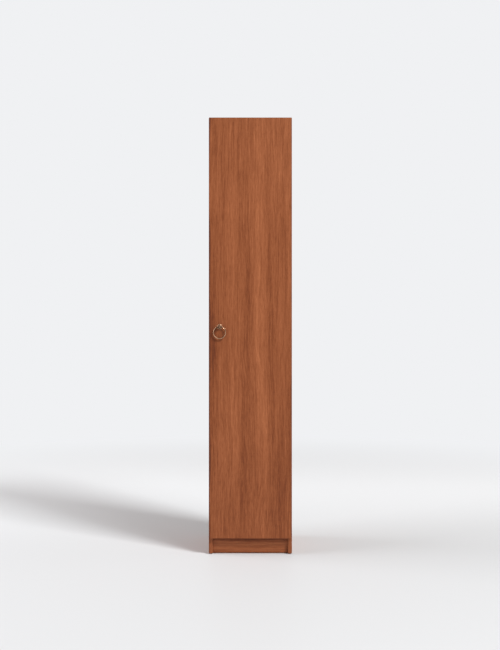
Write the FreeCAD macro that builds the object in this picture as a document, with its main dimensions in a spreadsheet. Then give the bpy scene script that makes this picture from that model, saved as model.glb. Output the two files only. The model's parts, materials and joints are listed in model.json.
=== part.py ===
import FreeCAD, Part
import math
import os
import re
import Sketcher

# Broom cupboard: a tall, narrow, free-standing cupboard with one full-overlay door.
# Millimetres. +X is to the right, the front faces -Y, +Z is up.
# The origin is on the floor, in the middle of the width and of the overall depth.

doc = FreeCAD.newDocument("broom_cupboard")

# ---------------------------------------------------------------------------
# Driving dimensions
# ---------------------------------------------------------------------------

SIZES = [
    ("cabinet_width", 400, "outside of the two side panels"),
    ("cabinet_height", 2100, "floor to the top of the side panels"),
    ("carcass_depth", 380, "front edge to rear edge of the side panels"),
    ("board_thickness", 18, "all carcass boards and the door"),
    ("band_thickness", 1, "glued edge banding"),
    ("joint_clearance", 0.1, "play of a board in its housing"),
    ("housing_depth", 6, "how far a housed board enters a side panel"),
    ("plinth_height", 82, "floor to the underside of the bottom panel"),
    ("plinth_setback", 15, "plinth board behind the front edges"),
    ("glide_height", 4, "plastic glides under the side panels"),
    ("glide_width", 14, ""),
    ("glide_length", 30, ""),
    ("glide_inset", 40, "glide ends from the front and rear edges"),
    ("back_thickness", 3, "hardboard back"),
    ("back_rebate", 9, "how far the back laps onto each side panel"),
    ("back_clearance", 0.5, "back panel in its rebates, each side"),
    ("fixed_shelf_height", 1650, "floor to the underside of the fixed shelf"),
    ("shelf_setback", 20, "shelf front edges behind the carcass front"),
    ("rail_height", 80, "hook rail under the fixed shelf"),
    ("hook_pitch", 100, ""),
    ("hook_width", 14, ""),
    ("hook_strip", 2.5, "thickness of the hook's steel strip"),
    ("hook_bend_radius", 18, "outside of the hook's bend"),
    ("hook_back_length", 46, "straight leg on the rail"),
    ("hook_nose_length", 14, "straight tip"),
    ("hook_drop", 14, "rail's top edge to the hook's top"),
    ("bracket_width", 30, "wall bracket"),
    ("bracket_leg", 40, ""),
    ("bracket_thickness", 2, ""),
    ("wall_hole_radius", 2.75, "hole for the wall screw"),
    ("back_hole_radius", 4, "same screw through the back panel"),
    ("wall_hole_drop", 24, "hole under the top panel"),
    ("door_reveal", 2, "door edges inside the carcass outline"),
    ("door_bottom_height", 80, "floor to the door's bottom edge"),
    ("door_gap", 2, "back of the door to the carcass front"),
    ("handle_inset", 50.5, "handle centre from the door's free edge"),
    ("handle_height", 1095.5, "floor to the axis that the ring turns on"),
    ("handle_standoff", 8.5, "ring axis in front of the door"),
    ("post_head_radius", 8.2, "turned handle post"),
    ("post_neck_bevel", 2.1, "at the rosette"),
    ("post_front_bevel", 2.4, ""),
    ("rosette_radius", 12.5, ""),
    ("rosette_thickness", 3, ""),
    ("ring_radius", 28.5, "centre line of the ring"),
    ("ring_wire_radius", 2.75, ""),
    ("ring_play", 0.3, "radial play of the ring in the post"),
    ("hinge_count", 3, ""),
    ("hinge_end_distance", 100, "outer hinges from the door's ends"),
    ("cup_edge_distance", 3, "cup bore to the door's edge"),
    ("cup_bore_radius", 17.5, ""),
    ("cup_bore_depth", 13, ""),
    ("cup_fit", 0.1, "radial, cup in its bore"),
    ("cup_depth", 12.5, "cup below the back of the door"),
    ("cup_wall", 0.8, ""),
    ("cup_notch_width", 17, "opening in the rim for the links"),
    ("cup_notch_depth", 4, ""),
    ("flange_thickness", 1.2, ""),
    ("flange_rim", 0.7, "flange beyond the bore"),
    ("flange_ear_radius", 6.5, ""),
    ("flange_screw_pitch", 48, ""),
    ("flange_screw_shift", 8, "ears behind the cup's centre"),
    ("hinge_pin_radius", 1.25, ""),
    ("hinge_pin_play", 0.05, "radial running clearance"),
    ("open_pivot_play", 1.1, "radial, rear eye of the long link"),
    ("arm_pivot_x", -6.2, "front arm pivot from the side panel"),
    ("arm_pivot_y", -8.6, "front arm pivot from the carcass front"),
    ("arm_rear_pivot_x", -20.8, ""),
    ("arm_rear_pivot_y", 3.5, ""),
    ("cup_pivot_x", 7.6, "deep cup pivot"),
    ("cup_pivot_y", -8.2, ""),
    ("cup_rim_pivot_x", 7.5, "shallow cup pivot"),
    ("cup_rim_pivot_y", -4.2, ""),
    ("short_link_width", 9, "along the pins"),
    ("short_link_eye", 2.5, "outside radius"),
    ("short_link_waist", 2.6, "bar width"),
    ("short_link_bow", 3.6, "how far the bar bows into the cup"),
    ("short_link_knee", 7.4, "knee from the cup pin"),
    ("link_clearance", 0.2, "between neighbouring hinge plates"),
    ("arm_plate", 1.2, "wall of the hinge arm"),
    ("arm_tip_radius", 2.4, ""),
    ("arm_eye_radius", 3, "round the rear arm pivot"),
    ("arm_length", 60, "rear end of the arm from the carcass front"),
    ("arm_height", 15, "arm's back from the side panel"),
    ("arm_floor", 3, "arm's edges from the side panel"),
    ("arm_shoulder", 18, "where the arm starts to widen"),
    ("long_link_plate", 1.2, ""),
    ("long_link_waist", 2.8, "bar width"),
    ("long_link_eye", 2.4, "outside radius at the cup"),
    ("long_link_rear_eye", 3.4, "outside radius at the arm"),
    ("long_link_bow", 2.2, ""),
    ("long_link_knee", 7, "knee from the cup pin"),
    ("plate_thickness", 2, "mounting plate on the side panel"),
    ("plate_screw_inset", 37, "plate screws from the carcass front"),
    ("plate_screw_pitch", 32, ""),
    ("plate_wing_radius", 5.5, ""),
    ("plate_front", 22, "front end of the plate's saddle"),
    ("plate_back", 58, "rear end of the plate's saddle"),
    ("plate_side_clearance", 0.15, "saddle inside the arm, each side"),
]

# Places and sizes that follow from the driving dimensions.
PLACES = [
    ("half_width", "cabinet_width / 2"),
    ("inner_x", "half_width - board_thickness"),
    ("handle_reach", "handle_standoff + post_head_radius"),
    ("overall_depth", "carcass_depth + door_gap + board_thickness + handle_reach"),
    ("back_y", "overall_depth / 2"),
    ("inner_back_y", "back_y - back_thickness"),
    ("front_y", "back_y - carcass_depth"),
    ("board_front_y", "front_y + band_thickness"),
    ("shelf_front_y", "front_y + shelf_setback"),
    ("door_back_y", "front_y - door_gap"),
    ("door_face_y", "door_back_y - board_thickness"),
    ("top_underside_z", "cabinet_height - board_thickness"),
    ("door_half_width", "half_width - door_reveal"),
    ("door_top_z", "cabinet_height - door_reveal"),
    ("door_height", "door_top_z - door_bottom_height"),
    ("housed_reach", "inner_x + housing_depth - joint_clearance"),
    ("handle_x", "handle_inset - door_half_width"),
    ("ring_axis_y", "door_face_y - handle_standoff"),
    ("ring_rise", "ring_radius - sqrt(ring_radius ^ 2 - post_head_radius ^ 2)"),
    ("hinge_first_z", "door_bottom_height + hinge_end_distance"),
    ("hinge_last_z", "door_top_z - hinge_end_distance"),
    ("hinge_spacing", "(hinge_last_z - hinge_first_z) / (hinge_count - 1)"),
    # Seen along the pins, from the middle outwards: short link, arm, long link.
    ("arm_inside", "short_link_width + 2 * link_clearance"),
    ("arm_width", "arm_inside + 2 * arm_plate"),
    ("long_link_inside", "arm_width + 2 * link_clearance"),
    ("long_link_width", "long_link_inside + 2 * long_link_plate"),
    # In a hinge's own frame: x from the side panel's inner face, y from the carcass front.
    ("door_edge_x", "board_thickness - door_reveal"),
    ("cup_x", "door_edge_x - cup_edge_distance - cup_bore_radius"),
    ("cup_radius", "cup_bore_radius - cup_fit"),
    ("well_flat", "(cup_radius - cup_wall) * cos(22.5)"),
    ("wall_middle_radius", "cup_radius - cup_wall / 2"),
    ("deep_pin_length", "2 * sqrt(wall_middle_radius ^ 2 - (cup_pivot_x - cup_x) ^ 2)"),
    ("rim_pin_length", "2 * sqrt(wall_middle_radius ^ 2 - (cup_rim_pivot_x - cup_x) ^ 2)"),
    ("short_run_x", "arm_pivot_x - cup_pivot_x"),
    ("short_run_y", "arm_pivot_y - cup_pivot_y"),
    ("short_run", "sqrt(short_run_x ^ 2 + short_run_y ^ 2)"),
    ("short_knee_along", "short_link_knee / short_run"),
    ("short_knee_aside", "short_link_bow / short_run"),
    ("short_knee_x", "cup_pivot_x + short_knee_along * short_run_x - short_knee_aside * short_run_y"),
    ("short_knee_y", "cup_pivot_y + short_knee_along * short_run_y + short_knee_aside * short_run_x"),
    ("long_run_x", "arm_rear_pivot_x - cup_rim_pivot_x"),
    ("long_run_y", "arm_rear_pivot_y - cup_rim_pivot_y"),
    ("long_run", "sqrt(long_run_x ^ 2 + long_run_y ^ 2)"),
    ("long_knee_along", "long_link_knee / long_run"),
    ("long_knee_aside", "long_link_bow / long_run"),
    ("long_knee_x", "cup_rim_pivot_x + long_knee_along * long_run_x - long_knee_aside * long_run_y"),
    ("long_knee_y", "cup_rim_pivot_y + long_knee_along * long_run_y + long_knee_aside * long_run_x"),
]

sizes = doc.addObject("Spreadsheet::Sheet", "Sizes")
for row, (alias, number, note) in enumerate(SIZES, start=1):
    sizes.set("A%d" % row, alias)
    sizes.set("B%d" % row, str(number))
    sizes.set("C%d" % row, note)
    sizes.setAlias("B%d" % row, alias)
size_names = {alias for alias, number, note in SIZES}
place_names = {alias for alias, formula in PLACES}


def with_owners(text, place_owner="Places."):
    """Put the sheet's name before each named value in an expression."""

    def owned(match):
        word = match.group(0)
        if word in size_names:
            return "Sizes." + word
        if word in place_names:
            return place_owner + word
        return word

    return re.sub(r"[a-z_]+", owned, text)


places = doc.addObject("Spreadsheet::Sheet", "Places")
for row, (alias, formula) in enumerate(PLACES, start=1):
    places.set("A%d" % row, alias)
    places.setAlias("B%d" % row, alias)
for row, (alias, formula) in enumerate(PLACES, start=1):
    places.set("B%d" % row, "=" + with_owners(formula, place_owner=""))
doc.recompute()


# ---------------------------------------------------------------------------
# Helpers
# ---------------------------------------------------------------------------

ALONG = {
    "+Y": FreeCAD.Rotation(FreeCAD.Vector(1, 0, 0), -90),
    "-Y": FreeCAD.Rotation(FreeCAD.Vector(1, 0, 0), 90),
}
nodes = []


def bind(item, prop, text):
    """Drive one property by an expression of named values."""
    item.setExpression(prop, with_owners(text))


def value(text):
    """Present number of an expression."""
    return float(sizes.evalExpression(with_owners(text)))


def put(item, at, rotation=FreeCAD.Rotation()):
    """Place an item at three expressions, turned by a fixed rotation."""
    item.Placement = FreeCAD.Placement(FreeCAD.Vector(), rotation)
    for axis, text in zip("xyz", at):
        bind(item, "Placement.Base." + axis, text)


def keep(item, name):
    """Make an item a finished sub-part; its label is its file's name."""
    item.Label = name
    nodes.append(item)
    return item


def box(name, low, size):
    item = doc.addObject("Part::Box", name)
    for prop, text in zip(("Length", "Width", "Height"), size):
        bind(item, prop, text)
    put(item, low)
    return item


def cylinder(name, radius, height, at, along):
    item = doc.addObject("Part::Cylinder", name)
    bind(item, "Radius", radius)
    bind(item, "Height", height)
    put(item, at, ALONG[along])
    return item


def cut(name, base, tools):
    tool = tools[0]
    if len(tools) > 1:
        tool = doc.addObject("Part::MultiFuse", name + "_tools")
        tool.Shapes = tools
    item = doc.addObject("Part::Cut", name)
    item.Base = base
    item.Tool = tool
    return item


def group(name, members):
    """Several separate solids of one kind, kept in one sub-part."""
    item = doc.addObject("Part::Compound", name)
    item.Links = members
    return item


def new_body(name, at):
    body = doc.addObject("PartDesign::Body", name)
    put(body, at)
    return body


def sketch(body, name, role, offset=("0", "0", "0")):
    """Empty sketch on one of the body's own origin planes, moved by three expressions."""
    item = body.newObject("Sketcher::SketchObject", body.Name + "_" + name)
    planes = [feature for feature in body.Origin.OriginFeatures if feature.Role == role]
    item.AttachmentSupport = [(planes[0], "")]
    item.MapMode = "FlatFace"
    for axis, text in zip("xyz", offset):
        bind(item, "AttachmentOffset.Base." + axis, text)
    return item


def fix_point(item, geometry, end, point):
    """Hold one end of a sketch line or arc, or its centre (3), at two expressions."""
    for kind, text in zip(("DistanceX", "DistanceY"), point):
        index = item.addConstraint(Sketcher.Constraint(kind, -1, 1, geometry, end, value(text)))
        bind(item, "Constraints[%d]" % index, text)


def fix_radius(item, geometry, radius):
    index = item.addConstraint(Sketcher.Constraint("Radius", geometry, value(radius)))
    bind(item, "Constraints[%d]" % index, radius)


def spot(point):
    return FreeCAD.Vector(value(point[0]), value(point[1]), 0)


def polygon(item, corners):
    """Closed outline of straight lines through the corners."""
    count = len(corners)
    first = item.GeometryCount
    for index, corner in enumerate(corners):
        following = corners[(index + 1) % count]
        item.addGeometry(Part.LineSegment(spot(corner), spot(following)), False)
    for index in range(count):
        following = first + (index + 1) % count
        item.addConstraint(Sketcher.Constraint("Coincident", first + index, 2, following, 1))
    for index, corner in enumerate(corners):
        fix_point(item, first + index, 1, corner)


def octagon(item, centre, radius):
    """Regular octagon whose flats lie this far from its centre."""
    corners = []
    for step in range(8):
        angle = 22.5 + 45 * step
        reach = "(%s) / cos(22.5)" % radius
        across = "%s + %s * cos(%s)" % (centre[0], reach, angle)
        along = "%s + %s * sin(%s)" % (centre[1], reach, angle)
        corners.append((across, along))
    polygon(item, corners)


def circle(item, centre, radius):
    shape = Part.Circle(spot(centre), FreeCAD.Vector(0, 0, 1), value(radius))
    index = item.addGeometry(shape, False)
    fix_point(item, index, 3, centre)
    fix_radius(item, index, radius)


def strap(item, start, end, half_width):
    """Straight strip from one point to another, run past both by a quarter of its width."""
    run_x = "(%s - (%s))" % (end[0], start[0])
    run_y = "(%s - (%s))" % (end[1], start[1])
    run = "sqrt(%s ^ 2 + %s ^ 2)" % (run_x, run_y)
    corners = []
    for point, along, across in ((start, -1, -1), (end, 1, -1), (end, 1, 1), (start, -1, 1)):
        shift = "%s + %s * (%d * %s / 2 - %d * %s) / %s"
        corner_x = shift % (point[0], half_width, along, run_x, across, run_y, run)
        shift = "%s + %s * (%d * %s / 2 + %d * %s) / %s"
        corner_y = shift % (point[1], half_width, along, run_y, across, run_x, run)
        corners.append((corner_x, corner_y))
    polygon(item, corners)


def chamfered_plate(item, centre, half_pitch, radius):
    """Long plate across the sketch, with chamfered ends round two fixing points."""
    reach = "(%s + %s)" % (half_pitch, radius)
    corner = "(%s - %s / 2)" % (reach, radius)
    corners = []
    for side, end in ((-1, -1), (1, -1), (1, 1), (-1, 1)):
        by_side = ("%s + %d * %s" % (centre[0], side, radius), "%s + %d * %s" % (centre[1], end, corner))
        by_end = ("%s + %d * %s / 2" % (centre[0], side, radius), "%s + %d * %s" % (centre[1], end, reach))
        corners.extend((by_side, by_end) if side == end else (by_end, by_side))
    polygon(item, corners)


def extrude(kind, body, profile, length, symmetric=False, reverse=False):
    item = body.newObject("PartDesign::" + kind, profile.Name + "_" + kind.lower())
    item.Profile = profile
    if symmetric:
        item.SideType = "Symmetric"
    item.Reversed = reverse
    bind(item, "Length", length)
    profile.Visibility = False
    return item


def revolve(body, profile):
    """Turn a profile a full circle about the sketch's own Y axis."""
    item = body.newObject("PartDesign::Revolution", profile.Name + "_revolution")
    item.Profile = profile
    item.ReferenceAxis = (profile, ["V_Axis"])
    item.Angle = 360
    profile.Visibility = False
    return item


def pad_circle(body, name, centre, radius, length):
    profile = sketch(body, name, "XY_Plane")
    circle(profile, centre, radius)
    return extrude("Pad", body, profile, length, symmetric=True)


def pad_octagon(body, name, centre, radius, length):
    profile = sketch(body, name, "XY_Plane")
    octagon(profile, centre, radius)
    return extrude("Pad", body, profile, length, symmetric=True)


def pad_strap(body, name, start, end, half_width, length):
    profile = sketch(body, name, "XY_Plane")
    strap(profile, start, end, half_width)
    return extrude("Pad", body, profile, length, symmetric=True)


def pocket_circle(body, name, centre, radius, length):
    profile = sketch(body, name, "XY_Plane")
    circle(profile, centre, radius)
    return extrude("Pocket", body, profile, length, symmetric=True)


# ---------------------------------------------------------------------------
# Carcass boards
# ---------------------------------------------------------------------------

SIDES = {"left": -1, "right": 1}


def mirrored_low(side, low, size):
    """Low X of a span that starts at low on the right side, or of its mirror image."""
    return low if SIDES[side] > 0 else "-(%s) - (%s)" % (low, size)


def side_panel(side):
    """Side panel with a rebate for the back and housings for the bottom and the shelf."""
    name = side + "_side_panel"
    height = "cabinet_height - glide_height"
    tall = ("board_front_y", "glide_height")
    depth = "back_y - board_front_y"
    low_x = mirrored_low(side, "inner_x", "board_thickness")
    board = box(name + "_board", (low_x,) + tall, ("board_thickness", depth, height))
    rebate_x = mirrored_low(side, "inner_x", "back_rebate")
    housing_x = mirrored_low(side, "inner_x", "housing_depth")
    housing_height = "board_thickness + joint_clearance"
    tools = [
        box(
            name + "_back_rebate",
            (rebate_x, "inner_back_y", "glide_height"),
            ("back_rebate", "back_thickness", height),
        ),
        box(
            name + "_bottom_housing",
            (housing_x, "board_front_y", "plinth_height"),
            ("housing_depth", depth, housing_height),
        ),
        box(
            name + "_shelf_housing",
            (housing_x, "shelf_front_y + band_thickness", "fixed_shelf_height"),
            ("housing_depth", "inner_back_y - shelf_front_y - band_thickness", housing_height),
        ),
    ]
    return keep(cut(name, board, tools), name)


def cross_board(name, low_y, high_y, low_z, reach):
    """Horizontal board, centred on X, that reaches this far to each side."""
    low = ("-(%s)" % reach, low_y, low_z)
    size = ("2 * (%s)" % reach, "%s - (%s)" % (high_y, low_y), "board_thickness")
    return box(name, low, size)


for side in SIDES:
    side_panel(side)
keep(
    cross_board("top_panel", "board_front_y", "inner_back_y", "top_underside_z", "inner_x"),
    "top_panel",
)
keep(
    cross_board("bottom_panel", "board_front_y", "inner_back_y", "plinth_height", "housed_reach"),
    "bottom_panel",
)
keep(
    cross_board(
        "fixed_shelf",
        "shelf_front_y + band_thickness",
        "inner_back_y",
        "fixed_shelf_height",
        "housed_reach",
    ),
    "fixed_shelf",
)
keep(
    box(
        "plinth_board",
        ("-inner_x", "front_y + plinth_setback", "glide_height"),
        ("2 * inner_x", "board_thickness", "plinth_height - glide_height"),
    ),
    "plinth_board",
)


def back_panel():
    """Hardboard back in the side panels' rebates, with a hole for the wall screw."""
    reach = "(inner_x + back_rebate - back_clearance)"
    low_z = "plinth_height + back_clearance"
    height = "cabinet_height - plinth_height - 2 * back_clearance"
    low = ("-" + reach, "inner_back_y", low_z)
    board = box("back_panel_board", low, ("2 * " + reach, "back_thickness", height))
    centre = ("0", "inner_back_y", "top_underside_z - wall_hole_drop")
    hole = cylinder("back_panel_hole", "back_hole_radius", "back_thickness", centre, "+Y")
    return keep(cut("back_panel", board, [hole]), "back_panel")


def carcass_edge_bands():
    """Edge banding on the front edges of the boards, one strip for each board."""
    strips = []
    tall = "cabinet_height - glide_height"
    for side in SIDES:
        low_x = mirrored_low(side, "inner_x", "board_thickness")
        low = (low_x, "front_y", "glide_height")
        strips.append(box(side + "_side_band", low, ("board_thickness", "band_thickness", tall)))
    cross_bands = (
        ("top_band", "inner_x", "front_y", "top_underside_z"),
        ("bottom_band", "inner_x", "front_y", "plinth_height"),
        ("fixed_shelf_band", "inner_x", "shelf_front_y", "fixed_shelf_height"),
    )
    for name, reach, low_y, low_z in cross_bands:
        size = ("2 * " + reach, "band_thickness", "board_thickness")
        strips.append(box(name, ("-" + reach, low_y, low_z), size))
    return keep(group("carcass_edge_bands", strips), "carcass_edge_bands")


back_panel()
carcass_edge_bands()

# ---------------------------------------------------------------------------
# Carcass fittings
# ---------------------------------------------------------------------------


def floor_glide(side, end, low_y):
    """Plastic glide under one corner."""
    name = "floor_glide_%s_%s" % (side, end)
    low_x = mirrored_low(side, "inner_x + (board_thickness - glide_width) / 2", "glide_width")
    return keep(box(name, (low_x, low_y, "0"), ("glide_width", "glide_length", "glide_height")), name)


for side in SIDES:
    floor_glide(side, "front", "front_y + glide_inset")
    floor_glide(side, "rear", "back_y - glide_inset - glide_length")
keep(
    box(
        "hook_rail",
        ("-inner_x", "inner_back_y - board_thickness", "fixed_shelf_height - rail_height"),
        ("2 * inner_x", "board_thickness", "rail_height"),
    ),
    "hook_rail",
)

HOOK_STEPS = (-1, 0, 1)
HOOK_FACE_Y = "inner_back_y - board_thickness"
HOOK_TOP_Z = "fixed_shelf_height - hook_drop"


def broom_hook(step):
    """J-shaped hook of flat steel strip: back leg, half-round bend and nose."""
    seat = ("%d * hook_pitch" % step, HOOK_FACE_Y, HOOK_TOP_Z)
    body = new_body("broom_hook_%d" % (step + 2), seat)
    profile = sketch(body, "strip", "YZ_Plane")
    bend_y = "-hook_bend_radius"
    bend_z = "-hook_back_length"
    inner = "(hook_bend_radius - hook_strip)"
    corners = {
        "back_top": ("0", "0"),
        "back_bottom": ("0", bend_z),
        "nose_bottom": ("-2 * hook_bend_radius", bend_z),
        "nose_top": ("-2 * hook_bend_radius", "hook_nose_length - hook_back_length"),
        "nose_inner_top": (
            "hook_strip - 2 * hook_bend_radius",
            "hook_nose_length - hook_back_length",
        ),
        "nose_inner_bottom": ("hook_strip - 2 * hook_bend_radius", bend_z),
        "back_inner_bottom": ("-hook_strip", bend_z),
        "back_inner_top": ("-hook_strip", "0"),
    }
    point = {name: spot(corner) for name, corner in corners.items()}
    centre = spot((bend_y, bend_z))
    up = FreeCAD.Vector(0, 0, 1)
    outer_bend = Part.Circle(centre, up, value("hook_bend_radius"))
    inner_bend = Part.Circle(centre, up, value(inner))
    outline = (
        Part.LineSegment(point["back_top"], point["back_bottom"]),
        Part.ArcOfCircle(outer_bend, math.pi, 2 * math.pi),
        Part.LineSegment(point["nose_bottom"], point["nose_top"]),
        Part.LineSegment(point["nose_top"], point["nose_inner_top"]),
        Part.LineSegment(point["nose_inner_top"], point["nose_inner_bottom"]),
        Part.ArcOfCircle(inner_bend, math.pi, 2 * math.pi),
        Part.LineSegment(point["back_inner_bottom"], point["back_inner_top"]),
        Part.LineSegment(point["back_inner_top"], point["back_top"]),
    )
    for edge in outline:
        profile.addGeometry(edge, False)
    # The bends run from the nose to the back leg and meet the straight legs smoothly.
    for first, first_end, second, second_end in ((0, 2, 1, 2), (1, 1, 2, 1), (4, 2, 5, 1), (5, 2, 6, 1)):
        profile.addConstraint(Sketcher.Constraint("Tangent", first, first_end, second, second_end))
    for first, second in ((2, 3), (3, 4), (6, 7), (7, 0)):
        profile.addConstraint(Sketcher.Constraint("Coincident", first, 2, second, 1))
    fix_point(profile, 0, 1, corners["back_top"])
    fix_point(profile, 2, 2, corners["nose_top"])
    fix_point(profile, 4, 1, corners["nose_inner_top"])
    fix_point(profile, 6, 2, corners["back_inner_top"])
    fix_point(profile, 1, 3, (bend_y, bend_z))
    fix_point(profile, 5, 3, (bend_y, bend_z))
    fix_radius(profile, 1, "hook_bend_radius")
    fix_radius(profile, 5, inner)
    extrude("Pad", body, profile, "hook_width", symmetric=True)
    return body


keep(group("broom_hooks", [broom_hook(step) for step in HOOK_STEPS]), "broom_hooks")


def wall_bracket():
    """Steel angle in the top rear corner: one leg under the top, one on the back."""
    body = new_body("wall_bracket", ("0", "inner_back_y", "top_underside_z"))
    profile = sketch(body, "angle", "YZ_Plane")
    corners = [
        ("0", "0"),
        ("-bracket_leg", "0"),
        ("-bracket_leg", "-bracket_thickness"),
        ("-bracket_thickness", "-bracket_thickness"),
        ("-bracket_thickness", "-bracket_leg"),
        ("0", "-bracket_leg"),
    ]
    polygon(profile, corners)
    extrude("Pad", body, profile, "bracket_width", symmetric=True)
    wall_hole = sketch(body, "wall_hole", "XZ_Plane")
    circle(wall_hole, ("0", "-wall_hole_drop"), "wall_hole_radius")
    extrude("Pocket", body, wall_hole, "4 * bracket_thickness", symmetric=True)
    return keep(body, "wall_bracket")


wall_bracket()
# ---------------------------------------------------------------------------
# Door and handle
# ---------------------------------------------------------------------------


def hinge_z(index):
    return "hinge_first_z + %d * hinge_spacing" % index


HINGES = range(int(value("hinge_count")))


def door_panel():
    """Door board with blind cup bores in its back."""
    reach = "(door_half_width - band_thickness)"
    low = ("-" + reach, "door_face_y", "door_bottom_height + band_thickness")
    size = ("2 * " + reach, "board_thickness", "door_height - 2 * band_thickness")
    board = box("door_board", low, size)
    tools = []
    for index in HINGES:
        centre = ("inner_x + cup_x", "door_back_y", hinge_z(index))
        bore = cylinder("cup_bore_%d" % (index + 1), "cup_bore_radius", "cup_bore_depth", centre, "-Y")
        tools.append(bore)
    return keep(cut("door_panel", board, tools), "door_panel")


def door_edge_bands():
    """Edge banding round the door: full-length side strips, end strips between them."""
    inner_reach = "(door_half_width - band_thickness)"
    strips = []
    for side in SIDES:
        low_x = mirrored_low(side, inner_reach, "band_thickness")
        low = (low_x, "door_face_y", "door_bottom_height")
        size = ("band_thickness", "board_thickness", "door_height")
        strips.append(box("door_%s_band" % side, low, size))
    for end, low_z in (("bottom", "door_bottom_height"), ("top", "door_top_z - band_thickness")):
        low = ("-" + inner_reach, "door_face_y", low_z)
        size = ("2 * " + inner_reach, "board_thickness", "band_thickness")
        strips.append(box("door_%s_band" % end, low, size))
    return keep(group("door_edge_bands", strips), "door_edge_bands")


HANDLE_SEAT = ("handle_x", "door_face_y", "handle_height")


def handle_rosette():
    """Round plate between the door and the handle post."""
    plate = cylinder("rosette", "rosette_radius", "rosette_thickness", HANDLE_SEAT, "-Y")
    return keep(plate, "handle_rosette")


def handle_post():
    """Turned post with bevelled ends and a cross hole for the ring."""
    body = new_body("handle_post", HANDLE_SEAT)
    profile = sketch(body, "section", "XY_Plane")
    seat_radius = "post_head_radius - post_neck_bevel"
    corners = [
        ("0", "-handle_reach"),
        ("0", "-rosette_thickness"),
        (seat_radius, "-rosette_thickness"),
        ("post_head_radius", "-rosette_thickness - post_neck_bevel"),
        ("post_head_radius", "post_front_bevel - handle_reach"),
        ("post_head_radius - post_front_bevel", "-handle_reach"),
    ]
    polygon(profile, corners)
    revolve(body, profile)

    # Wide enough for the ring's curve, which rises from the middle of the hole to its ends.
    hole = sketch(body, "ring_hole", "YZ_Plane")
    circle(hole, ("-handle_standoff", "0"), "ring_wire_radius + ring_rise + ring_play")
    extrude("Pocket", body, hole, "4 * post_head_radius", symmetric=True)
    return keep(body, "handle_post")


def handle_ring():
    """Closed wire ring that hangs from the post; the wire is turned in eight flats."""
    seat = ("handle_x", "ring_axis_y", "handle_height - ring_radius")
    body = new_body("handle_ring", seat)
    profile = sketch(body, "wire", "XY_Plane")
    octagon(profile, ("ring_radius", "0"), "ring_wire_radius")
    revolve(body, profile)
    return keep(body, "handle_ring")


door_panel()
door_edge_bands()
handle_rosette()
handle_post()
handle_ring()

# ---------------------------------------------------------------------------
# Concealed hinges: four-bar linkages between the right side panel and the door
# ---------------------------------------------------------------------------

ARM_PIVOT = ("arm_pivot_x", "arm_pivot_y")
ARM_REAR_PIVOT = ("arm_rear_pivot_x", "arm_rear_pivot_y")
CUP_PIVOT = ("cup_pivot_x", "cup_pivot_y")
CUP_RIM_PIVOT = ("cup_rim_pivot_x", "cup_rim_pivot_y")
SHORT_KNEE = ("short_knee_x", "short_knee_y")
LONG_KNEE = ("long_knee_x", "long_knee_y")
PIN_EYE = "hinge_pin_radius + hinge_pin_play"


def hinge_body(name, index):
    """Body whose frame starts at the side panel's inner face and the carcass front."""
    return new_body("%s_%d" % (name, index + 1), ("inner_x", "front_y", hinge_z(index)))


def hinge_plate(index):
    """Mounting plate: two screwed wings and a saddle that carries the arm."""
    body = hinge_body("hinge_plate", index)
    wings = sketch(body, "wings", "YZ_Plane")
    chamfered_plate(wings, ("plate_screw_inset", "0"), "plate_screw_pitch / 2", "plate_wing_radius")
    extrude("Pad", body, wings, "plate_thickness", reverse=True)
    saddle = sketch(body, "saddle", "YZ_Plane")
    half = "(arm_inside / 2 - plate_side_clearance)"
    corners = [
        ("plate_front", "-" + half),
        ("plate_back", "-" + half),
        ("plate_back", half),
        ("plate_front", half),
    ]
    polygon(saddle, corners)
    extrude("Pad", body, saddle, "arm_height - arm_plate", reverse=True)
    return keep(body, body.Name)


def hinge_arm(index):
    """Channel-shaped arm with the front and rear pivot pins riveted in."""
    body = hinge_body("hinge_arm", index)
    channel = sketch(body, "channel", "XY_Plane")
    corners = [
        ("-arm_floor", "arm_length"),
        ("-arm_floor", "arm_shoulder"),
        ("arm_pivot_x - arm_tip_radius", "arm_rear_pivot_y"),
        ARM_PIVOT,
        ARM_REAR_PIVOT,
        ("-arm_height", "arm_shoulder"),
        ("-arm_height", "arm_length"),
    ]
    polygon(channel, corners)
    extrude("Pad", body, channel, "arm_width", symmetric=True)
    pad_strap(body, "tip", ARM_PIVOT, ARM_REAR_PIVOT, "arm_tip_radius", "arm_width")
    pad_octagon(body, "rear_eye", ARM_REAR_PIVOT, "arm_eye_radius", "arm_width")
    pin_length = "long_link_width + 2 * link_clearance"
    pad_circle(body, "rear_pin", ARM_REAR_PIVOT, "hinge_pin_radius", pin_length)
    hollow = sketch(body, "hollow", "XY_Plane")
    inside_x = "arm_plate - arm_height"
    outside_x = "arm_rear_pivot_x - 2 * arm_eye_radius"
    front_y = "arm_pivot_y - 2 * arm_tip_radius"
    corners = [
        ("arm_floor", "arm_length + arm_floor"),
        ("arm_floor", front_y),
        (outside_x, front_y),
        (outside_x, "arm_rear_pivot_y + 2 * arm_eye_radius"),
        (inside_x, "arm_shoulder"),
        (inside_x, "arm_length + arm_floor"),
    ]
    polygon(hollow, corners)
    extrude("Pocket", body, hollow, "arm_inside", symmetric=True)
    pad_circle(body, "front_pin", ARM_PIVOT, "hinge_pin_radius", "arm_width")
    return keep(body, body.Name)


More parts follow.
